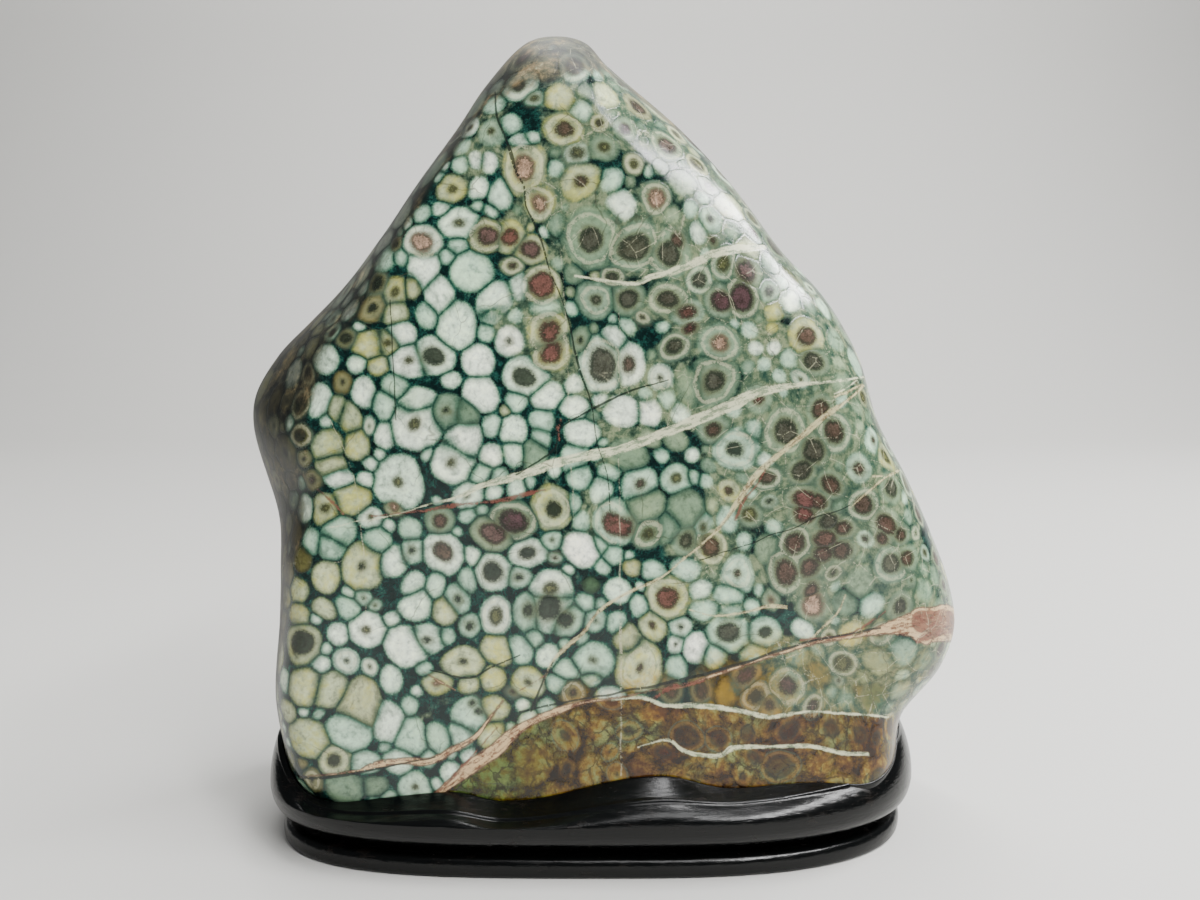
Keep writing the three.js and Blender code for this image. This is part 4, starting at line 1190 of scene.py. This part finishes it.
def cell_colours(finish, place, haze, noises):
    """The cells and the ground between them. How deep a point lies inside its cell is the lesser
    of its depth below the cell's edge and half the way to the next cell's. A body is greener and
    darker toward its edge and clearer in places. The ground is nearly black green, or pale
    grey-green where it is hazy. Gives the colour and the depth."""
    grain, mottle, cloud = noises
    first, second, tone, ringed = nearest_cells(finish, place)
    ragged = grain * 0.9 + mottle * 0.7
    seam = (second - first) * 0.5 + ragged * 0.6
    shell = ragged - first
    inside = finish.least(shell, seam)
    dark_ground = finish.ramp(mottle + grain * 0.5 + 0.5, [
        (0.3, paint(2, 14, 13)), (0.5, paint(6, 32, 29)), (0.66, paint(20, 62, 54)),
        (0.85, paint(74, 118, 96)),
    ])
    pale_ground = finish.ramp(mottle + cloud * 0.5 + grain * 0.2 + 0.5, [
        (0.3, paint(36, 64, 54)), (0.48, paint(74, 94, 72)), (0.66, paint(128, 138, 104)),
    ])
    hazed = finish.smooth(haze + cloud * 2.4 + mottle * 0.5, 0.35, 0.8)
    ground = finish.blend(hazed * 0.85, dark_ground, pale_ground)
    body = finish.ramp(tone, [
        (0.0, paint(242, 244, 228)), (0.12, paint(212, 231, 206)), (0.3, paint(172, 203, 176)),
        (0.5, paint(104, 128, 102)), (0.7, paint(192, 200, 158)), (0.9, paint(106, 98, 54)),
        (1.0, paint(26, 78, 60)),
    ])
    edge = finish.ramp(tone, [
        (0.0, paint(62, 110, 88)), (0.3, paint(40, 86, 68)), (0.5, paint(44, 70, 56)),
        (0.7, paint(72, 88, 58)), (0.9, paint(36, 36, 20)), (1.0, paint(10, 36, 26)),
    ])
    edge = finish.blend(hazed * 0.5, edge, pale_ground)
    between = finish.blend(0.6, body, edge)
    body = finish.blend(finish.smooth(inside, 0.3, 2.3), between, body)
    body = finish.blend(finish.smooth(inside, -0.15, 1.15), edge, body)
    creamy = finish.smooth(mottle + cloud, -0.12, 0.24) * (finish.band(tone, 0.7, 0.1) * 0.8 + 0.2)
    body = finish.blend(creamy, body, finish.blend(1.0, body, paint(226, 216, 164), "MULTIPLY"))
    wide = finish.smooth(ringed, 0.0, 0.5)
    ripple = inside.math("SINE", inside * 5.2) * 0.03 * wide
    fleck = finish.noise(place, 1.3, 3.0, 0.55) - 0.5
    clear = finish.smooth(fleck * -1.0 - mottle * 0.8, 0.02, 0.26)
    body = finish.blend(clear * 0.5, body, between)
    body = finish.scaled(body, ripple + 1.02 + mottle * 1.3 + fleck * 0.8 + grain * 0.25 + cloud * 0.6)
    colour = finish.blend(finish.smooth(shell - hazed * 0.25, -0.3, 0.6), ground, body)
    faint = finish.smooth(cloud * -1.0 + mottle * 0.7, -0.02, 0.2)
    touching = (1 - hazed * 0.75) * (1 - faint * 0.5) * finish.smooth(shell, 0.0, 0.3)
    soft_line = 1 - finish.smooth(seam, 0.1, 0.95)
    colour = finish.blend(soft_line * touching * 0.4, colour, paint(44, 80, 64))
    line = 1 - finish.smooth(seam, 0.0, 0.4)
    seam_paint = finish.blend(faint, paint(12, 38, 32), paint(50, 62, 40))
    return finish.blend(line * touching * 0.75, colour, seam_paint), inside


def core_colours(finish, place, colour, rust, noises):
    """Cores over the cells: ragged and speckled, with a soft dark rim and an olive glow round
    them. Where a cell is ringed, a thin broken pale ring runs part of the way out to its edge.
    Rust browns the ring."""
    grain, mottle, _ = noises
    gap, tone, ring_out = nearest_core(finish, place)
    depth = grain * 2.0 + mottle * 1.5 - gap
    wide_glow = 1 - finish.smooth(gap + mottle * 2.0, 0.2, 2.4)
    colour = finish.blend(wide_glow * (1 - rust) * 0.3, colour, paint(118, 130, 106))
    glow = 1 - finish.smooth(gap + mottle * 1.6 + grain, -0.2, 1.1)
    colour = finish.blend(glow * (1 - rust) * 0.5, colour, paint(88, 90, 60))
    broken = finish.smooth(mottle + grain, -0.26, 0.04) * finish.smooth(ring_out, 0.05, 0.3)
    pale_ring = finish.band(gap + mottle * 2.2 + grain * 0.8, ring_out, 0.42) * broken
    ring_paint = finish.blend(rust, paint(190, 190, 156), paint(116, 92, 44))
    colour = finish.blend(pale_ring * 0.42, colour, ring_paint)
    dark_ring = finish.band(gap + mottle, ring_out + 0.7, 0.25) * broken
    colour = finish.blend(dark_ring * 0.35, colour, paint(70, 92, 78))
    core = finish.ramp(tone, [
        (0.0, paint(17, 28, 24)), (0.17, paint(80, 82, 48)), (0.34, paint(54, 54, 46)),
        (0.5, paint(68, 50, 43)), (0.67, paint(88, 52, 49)), (0.84, paint(62, 40, 46)),
        (1.0, paint(146, 118, 98)),
    ])
    core = finish.blend(rust, core, finish.blend(1.0, core, paint(142, 104, 84), "MULTIPLY"))
    core = finish.scaled(core, 1.0 + mottle * 2.4 + grain * 2.6)
    core = finish.blend(finish.band(depth, 0.45, 0.65) * 0.7, core, paint(20, 27, 23))
    return finish.blend(finish.smooth(depth, -0.65, 0.65) * (0.93 - rust * 0.1), colour, core)


def rust_colours(finish, place, spot, colour, inside, shares, noises):
    """The zone that iron has stained: brown and yellow cells, darker at their edges, greener at
    the zone's left end, in a net of dark hair cracks. The band above takes a warm olive tint."""
    rust, olive = shares
    grain, mottle, cloud = noises
    olive = olive * finish.smooth(cloud + mottle * 0.6, -0.14, 0.1)
    depth = finish.smooth(inside + grain * 0.6, -0.1, 1.8)
    tinted = finish.blend(1.0, colour, paint(240, 196, 40), "MULTIPLY")
    tinted = finish.blend(0.5, tinted, finish.scaled(paint(166, 122, 26)[:3], depth * 0.6 + 0.2 + mottle))
    colour = finish.blend(olive, colour, tinted)
    warm = finish.ramp(mottle * 0.8 + cloud * 1.3 + 0.5, [
        (0.3, paint(92, 54, 20)), (0.44, paint(134, 94, 32)), (0.56, paint(158, 132, 50)),
        (0.7, paint(146, 156, 92)),
    ])
    left = 1 - finish.smooth(finish.parts(spot)[0] + cloud * 40.0, -34.0, -8.0)
    warm = finish.blend(left * 0.8, warm, finish.blend(1.0, warm, paint(176, 210, 140), "MULTIPLY"))
    rusty = finish.scaled(warm, depth * 0.38 + 0.24 + mottle * 0.9 + grain * 0.7)
    rusty = finish.blend(0.3, rusty, finish.blend(1.0, colour, warm, "MULTIPLY"))
    shift = finish.scaled(finish.noise(place, 3.0, 3.0, 0.6, 1), 4.0)
    crazed = finish.cracked(finish.vector_math("ADD", place, shift), 5.5)
    net = (1 - finish.smooth(crazed, 0.01, 0.08)) * finish.smooth(cloud + mottle, -0.12, 0.1)
    rusty = finish.blend(net * 0.75, rusty, paint(30, 18, 10))
    return finish.blend(finish.smooth(rust + mottle * 0.4, 0.35, 0.65), colour, rusty)


def skin_and_shade_colours(finish, spot, colour, skin_and_shade, noises):
    """The weathered skin: brown-black to tan streaks along the outline, paler at the peak. On the
    left shoulder and flank its dark cover is also painted shade for the side turned away from the
    light.
    """
    grain, mottle, _ = noises
    streaks = finish.noise(finish.attribute("skin_place"), 1.0, 4.0, 0.6)
    peak = finish.smooth(finish.parts(spot)[1], 176.0, 204.0)
    # Its near-black stops paint shade over the left flank as well as the dark skin.
    skin = finish.ramp(streaks + mottle * 0.5 + grain * 0.3 + peak * 0.1 - 0.1, [
        (0.3, paint(9, 10, 8)), (0.44, paint(34, 33, 25)), (0.56, paint(76, 70, 50)),
        (0.68, paint(128, 108, 76)), (0.8, paint(154, 150, 118)),
    ])
    cover = finish.smooth(skin_and_shade + mottle * 0.7 + (streaks - 0.5) * 0.8, 0.2, 0.75)
    return finish.blend(cover * 0.86, colour, skin)


def vein_colours(finish, spot, colour, noises):
    """Veins with ragged sides and streaks that run along them: the pink ones have a red-brown
    border, and the thin and the rusty ones are broken. Over them go the dark cracks. Gives the
    colour and how far each point is inside a vein."""
    grain, mottle, cloud = noises
    wobble = mottle * 0.9 + grain * 0.7
    uneven = cloud + mottle + grain
    broken = {"thread": finish.smooth(uneven, -0.14, 0.04), "rust": finish.smooth(uneven, -0.3, -0.12)}
    looks = {
        "cream": (paint(212, 212, 176), paint(122, 138, 108), 0.86),
        "tan": (paint(198, 188, 142), paint(116, 92, 62), 0.8),
        "pink": (paint(208, 178, 134), paint(114, 74, 52), 0.93),
        "rust": (paint(108, 58, 46), paint(56, 34, 28), 0.84),
        "thread": (paint(178, 174, 146), paint(112, 108, 84), 0.6),
    }
    x, z, _ = finish.parts(spot)
    across, along = VEIN_STREAKS
    inside_vein = None
    for kind, (pale, dark, strength) in looks.items():
        depth, aside = vein_depth(finish, spot, kind)
        drawn = {0: aside * across, 1: x * along, 2: z * along}
        streak = finish.noise(finish.node("ShaderNodeCombineXYZ", {}, drawn), 1.0, 4.0, 0.6) - 0.5
        inner = depth + wobble * (1.2 if kind == "rust" else 0.5) + streak * 0.7
        cover = finish.smooth(inner, -0.15, 0.4)
        if kind in broken:
            cover = cover * broken[kind]
        tint = finish.blend(finish.smooth(streak + grain * 0.4 + mottle * 0.5, -0.16, 0.06), dark, pale)
        if kind == "pink":
            tint = finish.blend(finish.band(inner, 0.2, 0.3) * 0.85, tint, paint(64, 36, 29))
        colour = finish.blend(cover * strength, colour, tint)
        inside_vein = cover if inside_vein is None else finish.most(inside_vein, cover)
    crack, _ = vein_depth(finish, spot, "crack")
    cover = finish.smooth(crack + wobble * 0.3, -0.14, 0.08)
    return finish.blend(cover * 0.85, colour, paint(20, 27, 25)), inside_vein


def hair_lines(finish, place, haze, colour, rust, noises):
    """Nets of hairlines: short straight pale ones over the hazy parts, and long bent dark ones
    here and there over all of the stone."""
    grain, mottle, cloud = noises
    broken = finish.smooth(mottle + grain, -0.1, 0.08) * finish.smooth(haze + mottle, 0.55, 0.85)
    pale_line = (1 - finish.smooth(finish.cracked(place, 7.0), 0.003, 0.022)) * broken
    colour = finish.blend(pale_line * (1 - rust) * 0.34, colour, paint(196, 194, 162))
    shift = finish.scaled(finish.noise(place, 9.0, 3.0, 0.5, 1), 7.0)
    fissures = finish.cracked(finish.vector_math("ADD", place, shift), 21.0)
    dark_line = (1 - finish.smooth(fissures, 0.002, 0.01)) * finish.smooth(cloud, -0.02, 0.08)
    return finish.blend(dark_line * 0.5, colour, paint(52, 54, 42))


def stone_finish():
    """Polished orbicular stone. Pale round cells with thin dark seams lie in dark green ground,
    many with a coloured core and rings. Veins, cracks and a rusty zone cut across them."""
    finish = Finish("polished_orbicular_stone")
    place = finish.attribute("place")
    spot = finish.attribute("vein_spot")
    rust, olive, skin_and_shade = finish.parts(finish.attribute("zones"))
    haze = finish.parts(spot)[2]
    grain = finish.noise(place, GRAIN_SIZE, 3.0, 0.6) - 0.5
    mottle = finish.noise(place, MOTTLE_SIZE, 4.0, 0.6) - 0.5
    cloud = finish.noise(place, CLOUD_SIZE, 3.0, 0.5) - 0.5
    noises = (grain, mottle, cloud)

    colour, inside = cell_colours(finish, place, haze, noises)
    colour = rust_colours(finish, place, spot, colour, inside, (rust, olive), noises)
    colour = core_colours(finish, place, colour, finish.most(rust, olive * 0.5), noises)
    # Weathered skin, with painted shade over the left shoulder and flank.
    colour = skin_and_shade_colours(finish, spot, colour, skin_and_shade, noises)
    colour, inside_vein = vein_colours(finish, spot, colour, noises)
    colour = hair_lines(finish, place, haze, colour, rust, noises)

    bump = finish.node("ShaderNodeBump", {}, {
        "Strength": 0.4, "Distance": 0.00008,
        "Height": finish.smooth(inside, 0.0, 0.5) + mottle * 1.2 + grain * 0.4 - inside_vein * 0.5,
    })
    finish.connect(finish.shader, {
        "Base Color": colour,
        "Roughness": 0.19 + inside_vein * 0.12 + mottle * 0.16 + grain * 0.1 + skin_and_shade * 0.3,
        "Normal": bump,
        "IOR": 1.5,
        "Specular IOR Level": 0.44,
    })
    return finish.material


def lacquer_finish():
    """Black lacquer over carved wood: glossy, with brush marks drawn out along the stand's
    length, specks of dust in the gloss, and wood showing brown where the film is thin."""
    finish = Finish("black_lacquer")
    place = finish.scaled(finish.node("ShaderNodeTexCoord", output="Object"), 1 / MM)
    drawn = finish.vector_math("MULTIPLY", place, (0.12, 0.5, 1.0))
    strokes = finish.noise(drawn, 0.7, 3.0, 0.6) - 0.5
    waves = finish.noise(place, 7.0, 3.0, 0.55) - 0.5
    dust = finish.noise(place, 0.5, 2.0, 0.5) - 0.5
    thin = finish.smooth(waves + strokes * 0.6, 0.08, 0.3)
    colour = finish.blend(thin * 0.4, paint(5, 6, 6), paint(24, 17, 12))
    bump = finish.node("ShaderNodeBump", {}, {
        "Strength": 0.5, "Distance": 0.0002, "Height": strokes * 0.9 + waves * 0.2 + dust * 0.16,
    })
    finish.connect(finish.shader, {
        "Base Color": colour,
        "Roughness": 0.2 + strokes * 0.2 + thin * 0.12,
        "Normal": bump,
        "Specular IOR Level": 0.27,
    })
    return finish.material


def paper_finish():
    """Pale matt paper for the floor, with the faintest cloudiness."""
    finish = Finish("pale_paper")
    place = finish.node("ShaderNodeTexCoord", output="Object")
    cloud = finish.noise(place, 0.8, 2.0, 0.5) - 0.5
    finish.connect(finish.shader, {
        "Base Color": finish.scaled(paint(196, 195, 191)[:3], 1.0 + cloud * 0.04),
        "Roughness": 0.7,
    })
    return finish.material


# Floor, camera and lights.

def make_floor():
    """A pale sweep: a flat floor that turns up behind in a quarter circle."""
    turn = np.linspace(0, np.pi / 2, 25)
    turned_y = FLOOR_TURN_Y + FLOOR_TURN_RADIUS * np.sin(turn)
    turned_z = FLOOR_TURN_RADIUS * (1 - np.cos(turn))
    profile = np.vstack([
        [[-FLOOR_HALF, 0.0]],
        np.stack([turned_y, turned_z], -1),
        [[FLOOR_TURN_Y + FLOOR_TURN_RADIUS, FLOOR_TOP]],
    ])
    left = np.column_stack([np.full(len(profile), -FLOOR_HALF), profile])
    right = np.column_stack([np.full(len(profile), FLOOR_HALF), profile])
    count = len(profile)
    faces = [[i, count + i, count + i + 1, i + 1] for i in range(count - 1)]
    floor = new_object("floor", np.vstack([left, right]), faces)
    floor.data.materials.append(paper_finish())


def make_camera():
    """The photograph's view, whose width in pixels sets the lens."""
    data = bpy.data.cameras.new("camera")
    data.sensor_width = SENSOR_MM
    data.lens = FOCAL_PIXELS * SENSOR_MM / (2 * FRAME_MIDDLE[0])
    data.clip_start = 0.01
    camera = bpy.data.objects.new("camera", data)
    camera.location = CAMERA_AT * MM
    camera.rotation_euler = (math.pi / 2 - CAMERA_DOWN, 0, 0)
    bpy.context.scene.collection.objects.link(camera)
    bpy.context.scene.camera = camera


def area_light(name, at, aim, size, watts):
    """A rectangular light that faces its aim, with its length kept level."""
    data = bpy.data.lights.new(name, "AREA")
    data.shape = "RECTANGLE"
    data.size, data.size_y = size
    data.energy = watts
    light = bpy.data.objects.new(name, data)
    light.location = at
    direction = np.array(at) - np.array(aim)
    across = math.hypot(direction[0], direction[1])
    light.rotation_euler = (math.atan2(across, direction[2]), 0, math.atan2(direction[0], -direction[1]))
    bpy.context.scene.collection.objects.link(light)


def make_room():
    """The weak, even light of a pale room, from all round."""
    world = bpy.data.worlds.new("pale_room")
    world.use_nodes = True
    background = world.node_tree.nodes["Background"]
    background.inputs["Color"].default_value = ROOM_COLOUR
    background.inputs["Strength"].default_value = ROOM_STRENGTH
    bpy.context.scene.world = world


# The scene.
stone = make_stone()
stand = make_stand()
write_stone_pattern(stone)
stone.data.materials.append(stone_finish())
stand.data.materials.append(lacquer_finish())
make_floor()
make_camera()
for light in LIGHTS:
    area_light(*light)
make_room()

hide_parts("stone")
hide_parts("stand")
for piece, slot in ((stone, "stone"), (stand, "lacquer")):
    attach(piece, "root")
